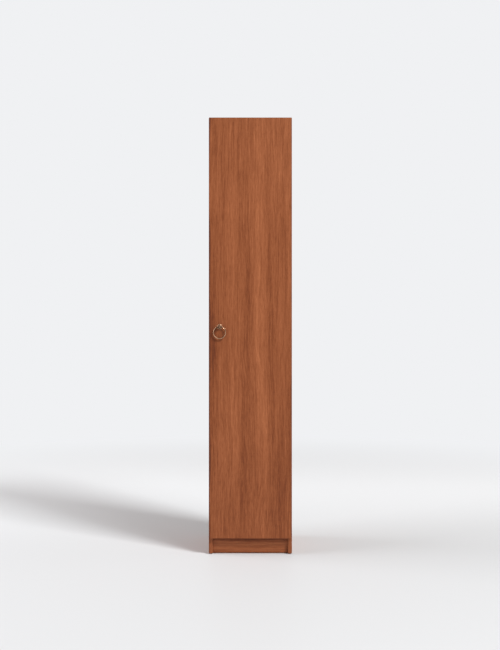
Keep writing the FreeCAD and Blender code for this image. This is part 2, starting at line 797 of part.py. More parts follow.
def hinge_short_link(index):
    """Short link from the arm's tip to the deep pin in the cup, bowed round the cup's rim."""
    body = hinge_body("hinge_short_link", index)
    width = "short_link_width"
    half_waist = "short_link_waist / 2"
    pad_octagon(body, "arm_eye", ARM_PIVOT, "short_link_eye", width)
    pad_octagon(body, "cup_eye", CUP_PIVOT, "short_link_eye", width)
    pad_strap(body, "arm_strap", ARM_PIVOT, SHORT_KNEE, half_waist, width)
    pad_strap(body, "cup_strap", SHORT_KNEE, CUP_PIVOT, half_waist, width)
    holes = sketch(body, "pin_holes", "XY_Plane")
    circle(holes, ARM_PIVOT, PIN_EYE)
    circle(holes, CUP_PIVOT, PIN_EYE)
    extrude("Pocket", body, holes, "2 * short_link_width", symmetric=True)
    return keep(body, body.Name)


def hinge_long_link(index):
    """Pair of long link plates outside the arm; the eye at the arm is the open pivot."""
    body = hinge_body("hinge_long_link", index)
    body.AllowCompound = True
    width = "long_link_width"
    half_waist = "long_link_waist / 2"
    pad_octagon(body, "cup_eye", CUP_RIM_PIVOT, "long_link_eye", width)
    pad_octagon(body, "arm_eye", ARM_REAR_PIVOT, "long_link_rear_eye", width)
    pad_strap(body, "cup_strap", CUP_RIM_PIVOT, LONG_KNEE, half_waist, width)
    pad_strap(body, "arm_strap", LONG_KNEE, ARM_REAR_PIVOT, half_waist, width)
    holes = sketch(body, "pin_holes", "XY_Plane")
    circle(holes, CUP_RIM_PIVOT, PIN_EYE)
    circle(holes, ARM_REAR_PIVOT, "hinge_pin_radius + open_pivot_play")
    extrude("Pocket", body, holes, "2 * long_link_width", symmetric=True)
    gap = sketch(body, "gap", "XY_Plane")
    margin = "2 * long_link_rear_eye"
    low_x = "arm_rear_pivot_x - " + margin
    high_x = "cup_rim_pivot_x + " + margin
    low_y = "long_knee_y - " + margin
    high_y = "arm_rear_pivot_y + " + margin
    polygon(gap, [(low_x, low_y), (high_x, low_y), (high_x, high_y), (low_x, high_y)])
    extrude("Pocket", body, gap, "long_link_inside", symmetric=True)
    return keep(body, body.Name)


def hinge_cup(index):
    """Pressed cup with a flange, a notch for the links and its two pivot pins."""
    body = hinge_body("hinge_cup", index)
    door_back = ("0", "0", "door_gap")
    flange_top = ("0", "0", "door_gap - flange_thickness")
    centre = ("cup_x", "0")
    shell = sketch(body, "shell", "XZ_Plane", door_back)
    circle(shell, centre, "cup_radius")
    extrude("Pad", body, shell, "cup_depth")
    rim = sketch(body, "rim", "XZ_Plane", door_back)
    octagon(rim, centre, "cup_bore_radius + flange_rim")
    extrude("Pad", body, rim, "flange_thickness", reverse=True)
    ears = sketch(body, "ears", "XZ_Plane", door_back)
    ear_x = "cup_x - flange_screw_shift"
    chamfered_plate(ears, (ear_x, "0"), "flange_screw_pitch / 2", "flange_ear_radius")
    extrude("Pad", body, ears, "flange_thickness", reverse=True)
    well = sketch(body, "well", "XZ_Plane", flange_top)
    octagon(well, centre, "well_flat")
    depth = "flange_thickness + cup_depth - cup_wall"
    extrude("Pocket", body, well, depth, reverse=True)
    notch = sketch(body, "notch", "XY_Plane")
    notch_end = "cup_x + cup_bore_radius + 2 * flange_rim"
    notch_floor = "-door_gap - cup_notch_depth"
    corners = [
        ("cup_pivot_x", notch_floor),
        (notch_end, notch_floor),
        (notch_end, "0"),
        ("cup_pivot_x", "0"),
    ]
    polygon(notch, corners)
    extrude("Pocket", body, notch, "cup_notch_width", symmetric=True)
    pad_circle(body, "rim_pin", CUP_RIM_PIVOT, "hinge_pin_radius", "rim_pin_length")
    pocket_circle(body, "rim_pin_gap", CUP_RIM_PIVOT, "hinge_pin_radius", "arm_width")
    pad_circle(body, "deep_pin", CUP_PIVOT, "hinge_pin_radius", "deep_pin_length")
    return body


for index in HINGES:
    hinge_plate(index)
    hinge_arm(index)
    hinge_short_link(index)
    hinge_long_link(index)
keep(group("hinge_cups", [hinge_cup(index) for index in HINGES]), "hinge_cups")

# ---------------------------------------------------------------------------
# Check and write
# ---------------------------------------------------------------------------

doc.recompute()
for item in doc.Objects:
    if "Invalid" in item.State or "Error" in item.State:
        raise RuntimeError("%s failed: %s" % (item.Name, item.State))
for item in nodes:
    if item.Shape.isNull() or not item.Shape.isValid():
        raise RuntimeError("%s has no valid shape" % item.Label)

os.makedirs("parts", exist_ok=True)
for item in nodes:
    item.Shape.exportStep("parts/%s.step" % item.Label)
print("%d sub-parts written" % len(nodes))
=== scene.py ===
# %% [markdown]
# # A broom cupboard in reddish-brown foil
#
# The cupboard is 400 mm wide, 417 mm deep with its door and ring pull, and 2100 mm tall. It is made
# of 18 mm chipboard covered in a wood-grain foil, and has one tall door on three concealed hinges.
# The solids come packed in one fixed frame, in metres: +X is right, the front looks along -Y and +Z
# is up. This lesson dresses them. Each cell makes one kind of piece or one finish, and prints what
# it made, so that a reader can follow it from the top to the bottom.

import json
import math

import bmesh
import bpy
import numpy as np
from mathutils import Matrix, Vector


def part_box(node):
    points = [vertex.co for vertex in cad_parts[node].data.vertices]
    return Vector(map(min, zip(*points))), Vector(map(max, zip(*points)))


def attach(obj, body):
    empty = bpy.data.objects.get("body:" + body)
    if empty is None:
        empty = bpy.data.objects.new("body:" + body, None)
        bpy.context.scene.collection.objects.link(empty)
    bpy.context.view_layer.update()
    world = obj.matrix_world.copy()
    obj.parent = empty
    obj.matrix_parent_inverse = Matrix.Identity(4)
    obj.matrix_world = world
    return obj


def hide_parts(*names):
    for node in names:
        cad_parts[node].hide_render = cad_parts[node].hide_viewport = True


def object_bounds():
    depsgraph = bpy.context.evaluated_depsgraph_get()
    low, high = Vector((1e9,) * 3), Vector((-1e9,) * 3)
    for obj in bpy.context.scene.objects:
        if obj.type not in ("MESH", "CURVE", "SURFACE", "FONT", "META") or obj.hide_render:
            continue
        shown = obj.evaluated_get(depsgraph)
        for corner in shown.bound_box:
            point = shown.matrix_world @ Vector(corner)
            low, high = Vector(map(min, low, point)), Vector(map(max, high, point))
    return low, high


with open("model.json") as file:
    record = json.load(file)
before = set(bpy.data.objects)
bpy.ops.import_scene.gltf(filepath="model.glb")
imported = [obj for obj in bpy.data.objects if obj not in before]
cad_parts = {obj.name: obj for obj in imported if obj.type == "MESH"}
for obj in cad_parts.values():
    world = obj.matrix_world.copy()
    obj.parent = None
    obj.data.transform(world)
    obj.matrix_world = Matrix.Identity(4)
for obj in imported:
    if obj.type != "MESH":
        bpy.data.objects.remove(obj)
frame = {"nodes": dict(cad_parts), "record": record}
cad_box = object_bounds()
record = frame["record"]
bodies = record["behaviour"]["bodies"]
body_of_node = {node: body for body, members in bodies.items() for node in members}

# %% [markdown]
# ## Small helpers for node trees
#
# A finish in Blender is a tree of nodes. Writing such a tree is easier to read when one call adds a
# node and fills its sockets, where a socket is filled either with a plain value or with another
# node's output. Colours are written the way a paint chart gives them, as sRGB, and are turned into
# the linear values that the renderer works with.

# %% Trees, colours and sums
def tint(red, green, blue):
    """Linear colour of an sRGB one: ((c + 0.055) / 1.055) ** 2.4 above 0.04045, and c / 12.92 below."""
    chart = np.array([red, green, blue]) / 255.0
    linear = np.where(chart > 0.04045, ((chart + 0.055) / 1.055) ** 2.4, chart / 12.92)
    return (*linear.tolist(), 1.0)


def add(tree, kind, sockets=None, **settings):
    """Add a node, set its properties, and fill its sockets with values or with other nodes' outputs."""
    node = tree.nodes.new("ShaderNode" + kind)
    for name, value in settings.items():
        setattr(node, name, value)
    for name, value in (sockets or {}).items():
        if isinstance(value, bpy.types.NodeSocket):
            tree.links.new(value, node.inputs[name])
        else:
            node.inputs[name].default_value = value
    return node


def calc(tree, operation, *values):
    """One step of arithmetic on numbers, such as MULTIPLY."""
    return add(tree, "Math", dict(enumerate(values)), operation=operation).outputs[0]


def vector_calc(tree, operation, *values):
    """One step of arithmetic on vectors. LENGTH gives a number, and the others give a vector."""
    step = add(tree, "VectorMath", dict(enumerate(values)), operation=operation)
    return step.outputs["Value" if operation == "LENGTH" else "Vector"]


def weigh(tree, base, *pairs):
    """base + weight * value for each pair of a weight and a value's output."""
    total = base
    for weight, value in pairs:
        total = calc(tree, "MULTIPLY_ADD", value, weight, total)
    return total


def step_up(tree, value, low, high, out_low=0.0, out_high=1.0):
    """Rise smoothly from out_low to out_high as value goes from low to high."""
    sockets = {"Value": value, "From Min": low, "From Max": high, "To Min": out_low, "To Max": out_high}
    return add(tree, "MapRange", sockets, interpolation_type="SMOOTHSTEP").outputs["Result"]


print("a chart's middle grey, 128, is", round(tint(128, 128, 128)[0], 3), "in linear light")

# %% [markdown]
# ## Patterns and colours that every finish shares
#
# Grain, brushed scratches and mottling are all noise, stretched more or less along one way. So one
# helper gives stretched noise, one turns a tone into a colour, and one wires colour, roughness and
# a fine bump to the shader. All patterns read the object's own coordinates in metres, so they keep
# their scale on every piece and stay put when the piece moves.

# %% Patterns
MM = 0.001


def finish_tree(name):
    """Start a finish: a material whose tree holds one Principled shader, wired to the output."""
    material = bpy.data.materials.new(name)
    material.use_nodes = True
    tree = material.node_tree
    tree.nodes.clear()
    shader = add(tree, "BsdfPrincipled")
    add(tree, "OutputMaterial", {"Surface": shader.outputs[0]})
    return material, tree, shader


def own_place(tree):
    """The object's own coordinates, in metres."""
    return add(tree, "TexCoord").outputs["Object"]


def own_axes(tree):
    """The X, Y and Z of the object's own coordinates, each by its name."""
    return add(tree, "SeparateXYZ", {0: own_place(tree)}).outputs


def stretched_noise(tree, where, across, along, detail=2.0, roughness=0.5):
    """Noise whose grains are 1 / across metres wide and 1 / along metres long, about 0.5 on average."""
    scaled = vector_calc(tree, "MULTIPLY", where, (across, across, along))
    sockets = {"Vector": scaled, "Scale": 1.0, "Detail": detail, "Roughness": roughness}
    return add(tree, "TexNoise", sockets).outputs[0]


def colours(tree, value, *stops):
    """A colour ramp: each stop is a place from 0 to 1 and a colour."""
    ramp = add(tree, "ValToRGB", {0: value})
    elements = ramp.color_ramp.elements
    for extra in stops[2:]:
        elements.new(extra[0])
    for element, (place, colour) in zip(elements, sorted(stops)):
        element.position = place
        element.color = colour
    return ramp.outputs[0]


def mix_colours(tree, share, under, over):
    """The colour under where share is 0, and the colour over where it is 1."""
    return add(tree, "Mix", {0: share, 6: under, 7: over}, data_type="RGBA").outputs[2]


def wire_up(tree, shader, colour, roughness, height=None, strength=0.0, depth=0.0):
    """Give a shader its colour and roughness, and a bump from height that is depth metres deep."""
    tree.links.new(colour, shader.inputs["Base Color"])
    tree.links.new(roughness, shader.inputs["Roughness"])
    if height is not None:
        bump = add(tree, "Bump", {"Height": height, "Strength": strength, "Distance": depth})
        tree.links.new(bump.outputs[0], shader.inputs["Normal"])


print("patterns are set out in metres, with", MM, "for a millimetre")

# %% [markdown]
# ## The camera
#
# The cupboard is seen straight from the front, from 4.24 m before its door, with the lens at
# 1.1 m. The camera is level, so the sides of the cupboard stay upright in the picture.

# %% Camera
LENS_SPOT = (-0.0018, -4.43165, 1.1035)
camera_data = bpy.data.cameras.new("camera")
camera_data.lens = 49.0
camera_data.sensor_width = 36.0
camera = bpy.data.objects.new("camera", camera_data)
camera.location = LENS_SPOT
camera.rotation_euler = (math.pi / 2, 0.0, 0.0)
bpy.context.scene.collection.objects.link(camera)
bpy.context.scene.camera = camera
print("camera", tuple(camera.location), "lens", camera_data.lens)

# %% [markdown]
# ## From grids of points to meshes
#
# Every new form in this lesson starts as a grid of points that a formula gives, worked out for the
# whole grid at once. This helper turns such grids into one closed mesh, so that the cells after it
# only have to say their formula. A mesh keeps its points in single precision, which near the top of
# the cupboard is a quarter of a micrometre. So points that should fall together are welded when they
# lie within one micrometre, far less than the finest detail here.

# %% Grids to a mesh
WELD = 1e-6


def mesh_from_grids(name, grids):
    """One mesh from grids of points. A quad joins rows i, i + 1 and columns j, j + 1 of a grid.
    A grid's seams and poles are closed by welding its points that fall together, while grids that
    only touch stay apart, and faces then point outwards."""
    verts, quads, ends = [], [], [0]
    for grid in grids:
        rows, columns = grid.shape[:2]
        index = np.arange(rows * columns).reshape(rows, columns) + ends[-1]
        corners = [index[:-1, :-1], index[1:, :-1], index[1:, 1:], index[:-1, 1:]]
        quads.append(np.stack(corners, -1).reshape(-1, 4))
        verts.append(grid.reshape(-1, 3))
        ends.append(ends[-1] + rows * columns)
    mesh = bpy.data.meshes.new(name)
    mesh.from_pydata(np.concatenate(verts).tolist(), [], np.concatenate(quads).tolist())
    shape = bmesh.new()
    shape.from_mesh(mesh)
    shape.verts.ensure_lookup_table()
    for own_points in [shape.verts[start:end] for start, end in zip(ends, ends[1:])]:
        bmesh.ops.remove_doubles(shape, verts=own_points, dist=WELD)
    bmesh.ops.recalc_face_normals(shape, faces=shape.faces)
    shape.to_mesh(mesh)
    shape.free()
    mesh.validate()
    return mesh


def polar_grid(radii, spokes):
    """Radii r and angles t on one grid, with t from 0 round to 2 pi, where the grid closes."""
    return np.meshgrid(radii, np.linspace(0, 2 * math.pi, spokes + 1), indexing="ij")


print("points closer than", WELD, "m are welded")

# %% [markdown]
# ## The floor
#
# The studio is a pale floor that goes out into a pale backdrop, so no horizon shows and every side of
# the cupboard can be looked at. A transparent edge would do that too, but it adds noise. Here the floor
# itself glows in the backdrop's colour as it goes out, and only for the camera, so the glow lights
# nothing. Near the cupboard it is a matt floor that keeps the shadows. Its colour is painted lighter
# towards the back, as painted light that makes up for the lamps' light falling off there.

# %% Floor
FLOOR_RADIUS = 4.8
STAGE_FADE = (2.0, 4.4)
BACKDROP = tint(240, 241, 243)


def floor_disc(radius, rings, spokes):
    """A disc in polar form: the point at (r, t) is (r cos t, r sin t, 0)."""
    r, t = polar_grid(np.linspace(0, radius, rings), spokes)
    return np.stack([r * np.cos(t), r * np.sin(t), np.zeros_like(r)], -1)


floor_mesh = mesh_from_grids("floor", [floor_disc(FLOOR_RADIUS, 9, 64)])
if floor_mesh.polygons[0].normal.z < 0:
    floor_mesh.flip_normals()
floor = bpy.data.objects.new("floor", floor_mesh)
bpy.context.scene.collection.objects.link(floor)

floor_paint, tree, shader = finish_tree("floor_paint")
shader.inputs["Roughness"].default_value = 0.5
shader.inputs["Specular IOR Level"].default_value = 0.06
# Painted light: the floor's colour is lighter towards the back, making up for the lamps' light falling
# off there.
behind = step_up(tree, own_axes(tree)["Y"], -0.3, 1.8)
floor_colour = mix_colours(tree, behind, tint(222, 221, 221), tint(247, 246, 246))
tree.links.new(floor_colour, shader.inputs["Base Color"])
going_out = step_up(tree, vector_calc(tree, "LENGTH", own_place(tree)), *STAGE_FADE)
to_camera = add(tree, "LightPath").outputs["Is Camera Ray"]
fade = calc(tree, "MULTIPLY", going_out, to_camera)
glow = add(tree, "Emission", {"Color": BACKDROP, "Strength": 1.0})
blend = add(tree, "MixShader", {0: fade, 1: shader.outputs[0], 2: glow.outputs[0]})
tree.links.new(blend.outputs[0], tree.nodes["Material Output"].inputs["Surface"])
floor_mesh.materials.append(floor_paint)
print("floor radius", FLOOR_RADIUS, "m, fading from", STAGE_FADE)

# %% [markdown]
# ## World and lamps
#
# The world lights evenly and a little warmly from all round. What the camera, mirrors and glass see
# of it is the pale backdrop instead, which is brighter than the light it gives, so the background is
# pale without more light on the wood. Three soft lamps do the rest. A distant key from the front
# right gives the long shadow to the rear left, a wide lamp beside it softens that shadow's edge, and
# a broad one on the left gives the faint second shadow.

# %% World and lamps
world = bpy.data.worlds.new("world")
bpy.context.scene.world = world
world.use_nodes = True
tree = world.node_tree
tree.nodes.clear()
path = add(tree, "LightPath").outputs
seen = calc(tree, "MAXIMUM", path["Is Camera Ray"], path["Is Glossy Ray"])
seen = calc(tree, "MAXIMUM", seen, path["Is Transmission Ray"])
lit = add(tree, "Background", {"Color": (1.0, 0.90, 0.86, 1.0), "Strength": 0.25})
shown = add(tree, "Background", {"Color": BACKDROP, "Strength": 1.0})
mix = add(tree, "MixShader", {0: seen, 1: lit.outputs[0], 2: shown.outputs[0]})
add(tree, "OutputWorld", {"Surface": mix.outputs[0]})


def soft_lamp(name, azimuth, elevation, distance, size, power, colour):
    """A square lamp of that size, aimed at the cupboard's middle from distance metres away. Azimuth
    is degrees to the right of the front, and elevation is degrees above level."""
    aim = np.array([0.0, 0.0, 1.0])
    a, e = math.radians(azimuth), math.radians(elevation)
    away = np.array([math.sin(a) * math.cos(e), -math.cos(a) * math.cos(e), math.sin(e)])
    data = bpy.data.lights.new(name, "AREA")
    data.size = size
    data.energy = power
    data.color = colour
    lamp = bpy.data.objects.new(name, data)
    lamp.location = (aim + away * distance).tolist()
    lamp.rotation_euler = (math.pi / 2 - e, 0.0, a)
    bpy.context.scene.collection.objects.link(lamp)


soft_lamp("key_lamp", 49.5, 41, 14.0, 3.4, 1455, (0.93, 0.98, 1.0))
soft_lamp("wide_lamp", 43, 42, 10.0, 3.6, 288, (0.93, 0.98, 1.0))
soft_lamp("left_lamp", -86, 26, 6.0, 4.6, 240, (0.92, 0.96, 1.0))

# %% [markdown]
# ## Which way the grain runs
#
# The foil's figure runs with the length of a board. The noise is stretched along its third
# coordinate, so each board hands its coordinates over in an order that puts its length third. The
# bands on the carcass's front edges are one piece with two directions: upright on the side boards,
# and level on the boards between them. Where one changes to the other is read from a side's box.

# %% Direction of the grain
GRAIN_ORDER = {"x": "ZYX", "y": "XZY", "z": "XYZ"}


def box_of(node):
    """Lowest and highest corner of a solid, in metres, as two arrays."""
    low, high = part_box(node)
    return np.array(low), np.array(high)


def middle_of(node):
    """The middle of a solid's box, in metres."""
    low, high = box_of(node)
    return (low + high) / 2


SIDE_FACE = box_of("right_side_panel")[0][0]


def along_grain(tree, along):
    """Object coordinates in an order that puts the grain's way third."""
    axes = own_axes(tree)
    turned_round = {i: axes[axis] for i, axis in enumerate(GRAIN_ORDER[along])}
    return add(tree, "CombineXYZ", turned_round).outputs[0]


def edge_grain(tree):
    """Upright grain on the side boards' edges, beyond the sides' inner faces, and level between."""
    size = calc(tree, "ABSOLUTE", own_axes(tree)["X"])
    side = calc(tree, "GREATER_THAN", size, SIDE_FACE)
    ways = {0: side, 4: along_grain(tree, "x"), 5: along_grain(tree, "z")}
    return add(tree, "Mix", ways, data_type="VECTOR").outputs[1]


def soft_streak(tree, where, centre, reach):
    """1 at a streak's centre, falling to 0 at an ellipse with half-axes reach, in x and z."""
    low = vector_calc(tree, "SUBTRACT", where, (centre[0], 0.0, centre[1]))
    scaled = vector_calc(tree, "MULTIPLY", low, (1 / reach[0], 0.0, 1 / reach[1]))
    return step_up(tree, vector_calc(tree, "LENGTH", scaled), 0.0, 1.0, 1.0, 0.0)


print("the boards between the sides reach to x =", round(float(SIDE_FACE), 4))

# %% [markdown]
# ## The wood-grain foil
#
# The boards wear a printed foil, not solid timber, so the figure is a quiet one: broad soft bands,
# narrower ribbons and threads inside them, and short fine pores. Each layer is noise with its own
# width and length, and a weighted sum of the layers is the tone that picks a colour. The foil stops
# at the rear edges of the sides, which are left as bare chipboard, because nobody sees them.

# %% Foil
FOIL_TONES = (
    (0.00, tint(90, 43, 26)),
    (0.28, tint(123, 63, 33)),
    (0.50, tint(143, 79, 45)),
    (0.72, tint(160, 92, 56)),
    (1.00, tint(183, 111, 70)),
)
# Each layer: its weight, its grains per metre across and along, its detail and its roughness.
GRAIN_LAYERS = (
    (0.26, 16.0, 0.55, 1.5, 0.5),
    (0.46, 66.0, 1.7, 3.0, 0.6),
    (0.74, 170.0, 6.0, 2.0, 0.6),
    (0.50, 260.0, 34.0, 2.0, 0.6),
    (0.30, 620.0, 18.0, 3.0, 0.6),
)
# Pores darken the foil, and the balance makes up for that on average.
PORE_WEIGHT, PORE_BALANCE = -0.20, 0.062
BACK_FACE = cad_box[1][1]
CHIPS = (0.34, tint(122, 88, 54)), (0.5, tint(176, 140, 98)), (0.68, tint(205, 176, 134))


def bare_rear_edge(tree, colour):
    """Chips of bare board in place of the colour on the board's rear edge."""
    raw = calc(tree, "GREATER_THAN", own_axes(tree)["Y"], BACK_FACE - 0.15 * MM)
    chips = stretched_noise(tree, own_place(tree), 260.0, 140.0, 3.0, 0.7)
    return mix_colours(tree, raw, colour, colours(tree, chips, *CHIPS))


def foil(name, along, shift, print_and_shade=(), lift=0.0, bare_rear=False):
    """The foil as a finish. Its tone is 0.5 + lift + the sum of weight * (noise - 0.5) over the layers,
    darkened where the pores' noise is high, plus weighted soft streaks: those of a print, and painted
    shade and light."""
    material, tree, shader = finish_tree(name)
    plain = edge_grain(tree) if along == "edges" else along_grain(tree, along)
    where = vector_calc(tree, "ADD", plain, shift)
    sway = calc(tree, "SUBTRACT", stretched_noise(tree, where, 3.0, 1.6, 1.0), 0.5)
    moved = vector_calc(tree, "MULTIPLY", sway, (0.05, 0.05, 0.0))
    swayed = vector_calc(tree, "ADD", where, moved)
    layers = [(weight, stretched_noise(tree, swayed, *grain)) for weight, *grain in GRAIN_LAYERS]
    pores = step_up(tree, stretched_noise(tree, where, 1300.0, 75.0, 1.0), 0.60, 0.74)
    even = 0.5 - 0.5 * sum(weight for weight, noise in layers) + PORE_BALANCE + lift
    tone = weigh(tree, even, *layers, (PORE_WEIGHT, pores))
    streak_place = vector_calc(tree, "ADD", plain, moved)
    for centre, reach, weight in print_and_shade:
        tone = weigh(tree, tone, (weight, soft_streak(tree, streak_place, centre, reach)))
    colour = colours(tree, tone, *FOIL_TONES)
    if bare_rear:
        colour = bare_rear_edge(tree, colour)
    fibres = layers[-1][1]
    roughness = weigh(tree, 0.40, (0.10, fibres), (0.08, pores))
    height = weigh(tree, 0.0, (0.25, fibres), (-0.8, pores))
    wire_up(tree, shader, colour, roughness, height, 0.30, 0.12 * MM)
    shader.inputs["Specular IOR Level"].default_value = 0.2
    return material


print("foil layers", len(GRAIN_LAYERS), "from", FOIL_TONES[0][1][:3], "to", FOIL_TONES[-1][1][:3])

# %% [markdown]
# ## One foil for each board
#
# The same recipe serves every board. Each has its grain turned to its length and the print shifted, so
# that no two boards match. The door is what everyone looks at, so it also gets soft light and dark
# streaks, each an ellipse with a centre, two half-axes and a weight. Most are the streaks of its print.
# The rest are painted light and shade. Thin dark lines along its two edges are painted shade where the
# foil ends, darkest on the left, away from the key lamp. Two wide ones paint its top a little lighter
# and its bottom darker, as the lamps light it. The plinth is painted lighter overall to make up for the
# shade under the door, with painted shade along its top and its foot, and a thin line of painted shade
# runs down the left side's front edge.

# %% Foils of the boards
DOOR_PRINT_AND_SHADE = (
    ((-0.190, 1.20), (0.048, 1.30), -0.12),
    ((-0.180, 1.03), (0.060, 0.34), -0.16),
    ((-0.120, 0.30), (0.030, 0.90), -0.05),
    ((-0.085, 1.50), (0.045, 0.70), 0.10),
    ((-0.085, 0.60), (0.045, 0.55), 0.10),
    ((-0.035, 0.40), (0.030, 0.65), -0.17),
    ((-0.012, 1.10), (0.024, 0.75), -0.12),
    ((0.045, 1.62), (0.050, 0.95), 0.17),
    ((0.050, 0.80), (0.045, 0.75), 0.17),
    ((0.100, 0.95), (0.030, 0.80), -0.08),
    ((0.150, 0.30), (0.085, 0.48), -0.20),
    ((0.120, 1.95), (0.050, 0.40), 0.10),
    ((0.185, 0.75), (0.050, 0.60), -0.08),
    # Painted shade: dark lines down the door's left and right edges, the left one darker, away from the
    # key lamp.
    ((-0.1985, 1.05), (0.007, 3.00), -0.62),
    ((0.1985, 1.05), (0.005, 3.00), -0.20),
    # Painted light and shade: the door's top a little lighter and its bottom darker, as the lamps light
    # it.
    ((0.0, 2.20), (1.00, 1.00), 0.03),
    ((0.0, 0.00), (1.00, 0.90), -0.05),
)
# Painted shade: a dark line down the left side's front edge, on the side away from the key lamp.
FOOT_EDGE_SHADE = (((-0.1985, 1.05), (0.0045, 3.00), -0.40),)
# Painted shade: a dark band along the plinth's top, under the door, and another along its foot by the
# floor.
PLINTH_SHADE = (((0.073, 0.0), (0.017, 3.0), -0.55), ((0.0, 0.0), (0.036, 3.0), -0.25))
foils = {
    "door": foil("door_foil", "z", (0.31, 0.0, 0.4), DOOR_PRINT_AND_SHADE),
    "left": foil("left_side_foil", "z", (1.7, 0.3, 0.9), bare_rear=True),
    "right": foil("right_side_foil", "z", (2.9, 1.3, 1.7), bare_rear=True),
    # The door's bands are darker than its face: a deeper brown edging, and painted shade along the
    # door's edges.
    "door_edge": foil("door_band_foil", "z", (0.31, 0.0, 0.4), lift=-0.22),
    "door_ends": foil("door_end_band_foil", "x", (0.9, 0.4, 1.3), lift=-0.16),
    "side_ends": foil("side_end_foil", "y", (1.9, 1.4, 0.3), lift=-0.04),
    "edges": foil("edge_band_foil", "edges", (0.7, 0.2, 2.3), FOOT_EDGE_SHADE, lift=-0.02),
    "top": foil("top_panel_foil", "x", (3.1, 0.6, 0.2)),
    "bottom": foil("bottom_panel_foil", "x", (4.3, 1.6, 1.2)),
    "shelf": foil("shelf_foil", "x", (5.3, 0.1, 2.2)),
    # Painted light: the plinth's foil is made lighter, to make up for the shade under the door.
    "plinth": foil("plinth_foil", "x", (7.43, 3.1, 1.9), PLINTH_SHADE, lift=0.23),
    "rail": foil("hook_rail_foil", "x", (7.7, 0.9, 0.1)),
}
print("foils", sorted(foils))

# %% [markdown]
# ## Hardboard
#
# The back is a 3 mm sheet of hardboard. Its inner face carries a plain brown print that goes with
# the foil. Its outer face is raw: pressed fibre with the faint mesh of the screen it was pressed on,
# and a row of nails down each side. Mesh and nails are far too small and too many to model, so both
# are patterns in the finish, with a bump.

# %% Hardboard finish
RAW_SHEET = (0.36, tint(112, 76, 46)), (0.5, tint(139, 99, 63)), (0.64, tint(160, 120, 80))
PRINTED_SHEET = (0.36, tint(131, 73, 47)), (0.5, tint(149, 87, 58)), (0.64, tint(162, 99, 68))
SCREEN_PITCH = 1.6 * MM
NAIL_COLUMN, NAIL_PITCH, NAIL_RADIUS = 186.2 * MM, 150 * MM, 1.9 * MM


def mesh_wave(tree, axis, pitch):
    """sin(2 pi x / pitch) along one axis: the ridges of a woven screen."""
    return calc(tree, "SINE", calc(tree, "MULTIPLY", axis, 2 * math.pi / pitch))


def nail_heads(tree, across, up, column, pitch, radius):
    """1 inside round nail heads: the distance to the nearest of a row along |x| = column is
    the length of (|x| - column, pingpong of z), and a head is where that is under radius."""
    side = calc(tree, "SUBTRACT", calc(tree, "ABSOLUTE", across), column)
    row = calc(tree, "PINGPONG", up, pitch / 2)
    far = vector_calc(tree, "LENGTH", add(tree, "CombineXYZ", {0: side, 1: row}).outputs[0])
    return step_up(tree, far, radius * 0.85, radius, 1.0, 0.0)


hardboard, tree, shader = finish_tree("hardboard")
where, axes = own_place(tree), own_axes(tree)
outer = calc(tree, "GREATER_THAN", axes["Y"], BACK_FACE - 1.55 * MM)
fibres = stretched_noise(tree, where, 420.0, 300.0, 4.0, 0.65)
clouds = stretched_noise(tree, where, 7.0, 5.0, 3.0)
print_bands = stretched_noise(tree, where, 26.0, 0.8, 2.0)
raw_colour = colours(tree, weigh(tree, 0.0, (0.55, fibres), (0.45, clouds)), *RAW_SHEET)
print_tone = weigh(tree, 0.0, (0.35, fibres), (0.65, print_bands))
colour = mix_colours(tree, outer, colours(tree, print_tone, *PRINTED_SHEET), raw_colour)
ridges = [mesh_wave(tree, axes[name], SCREEN_PITCH) for name in "XZ"]
screen = calc(tree, "MULTIPLY", calc(tree, "MULTIPLY", *ridges), outer)
nails = nail_heads(tree, axes["X"], axes["Z"], NAIL_COLUMN, NAIL_PITCH, NAIL_RADIUS)
nails = calc(tree, "MULTIPLY", nails, outer)
colour = mix_colours(tree, nails, colour, tint(96, 92, 88))
roughness = weigh(tree, 0.5, (0.25, outer), (-0.4, nails))
height = weigh(tree, 0.0, (0.5, fibres), (0.35, screen), (1.2, nails))
wire_up(tree, shader, colour, roughness, height, 0.5, 0.15 * MM)
print("hardboard finish made, with a nail every", NAIL_PITCH, "m")

# %% [markdown]
# ## Metals and plastic
#
# Four metals and one plastic: nickel on the hinges, bluish zinc on the hooks and the bracket, darker
# steel for screws and pins, patinated bronze on the pull, and brown plastic on the glides and caps.
# A metal's colour is its reflection, so each has a metallic base with mottled roughness and very fine
# scratches. The bronze also reads a rub_and_highlight attribute, stored on each of its points, which is
# high where fingers polish it, and on the plate's rim also as a painted highlight.

# %% Metal and plastic finishes
def metal(name, dark, light, roughness, grain=900.0, rub_and_highlight_name=None):
    """A metal: colour runs from dark to light with clouds, and lighter where the attribute named by
    rub_and_highlight_name is high, for rub and painted highlight.
    """
    material, tree, shader = finish_tree(name)
    where = own_place(tree)
    clouds = stretched_noise(tree, where, 120.0, 90.0, 4.0, 0.6)
    specks = stretched_noise(tree, where, grain, grain, 2.0, 0.6)
    tone = weigh(tree, 0.0, (0.6, clouds), (0.4, specks))
    if rub_and_highlight_name is not None:
        rub_and_highlight = add(tree, "Attribute", attribute_name=rub_and_highlight_name).outputs["Fac"]
        tone = weigh(tree, -0.22, (0.75, tone), (0.62, rub_and_highlight))
    colour = colours(tree, tone, (0.30, dark), (0.70, light))
    mottled = weigh(tree, roughness - 0.12, (0.24, clouds))
    wire_up(tree, shader, colour, mottled, specks, 0.25, 0.06 * MM)
    shader.inputs["Metallic"].default_value = 1.0
    return material


def moulded(name, grain, dark, light, polish, mottling, dimples=0.0):
    """A moulded piece, whose colour and roughness both follow one fine noise."""
    material, tree, shader = finish_tree(name)
    mottle = stretched_noise(tree, own_place(tree), grain, grain, 3.0)
    height = mottle if dimples else None
    roughness = weigh(tree, polish, (mottling, mottle))
    wire_up(tree, shader, colours(tree, mottle, dark, light), roughness, height, dimples, 0.08 * MM)
    return material


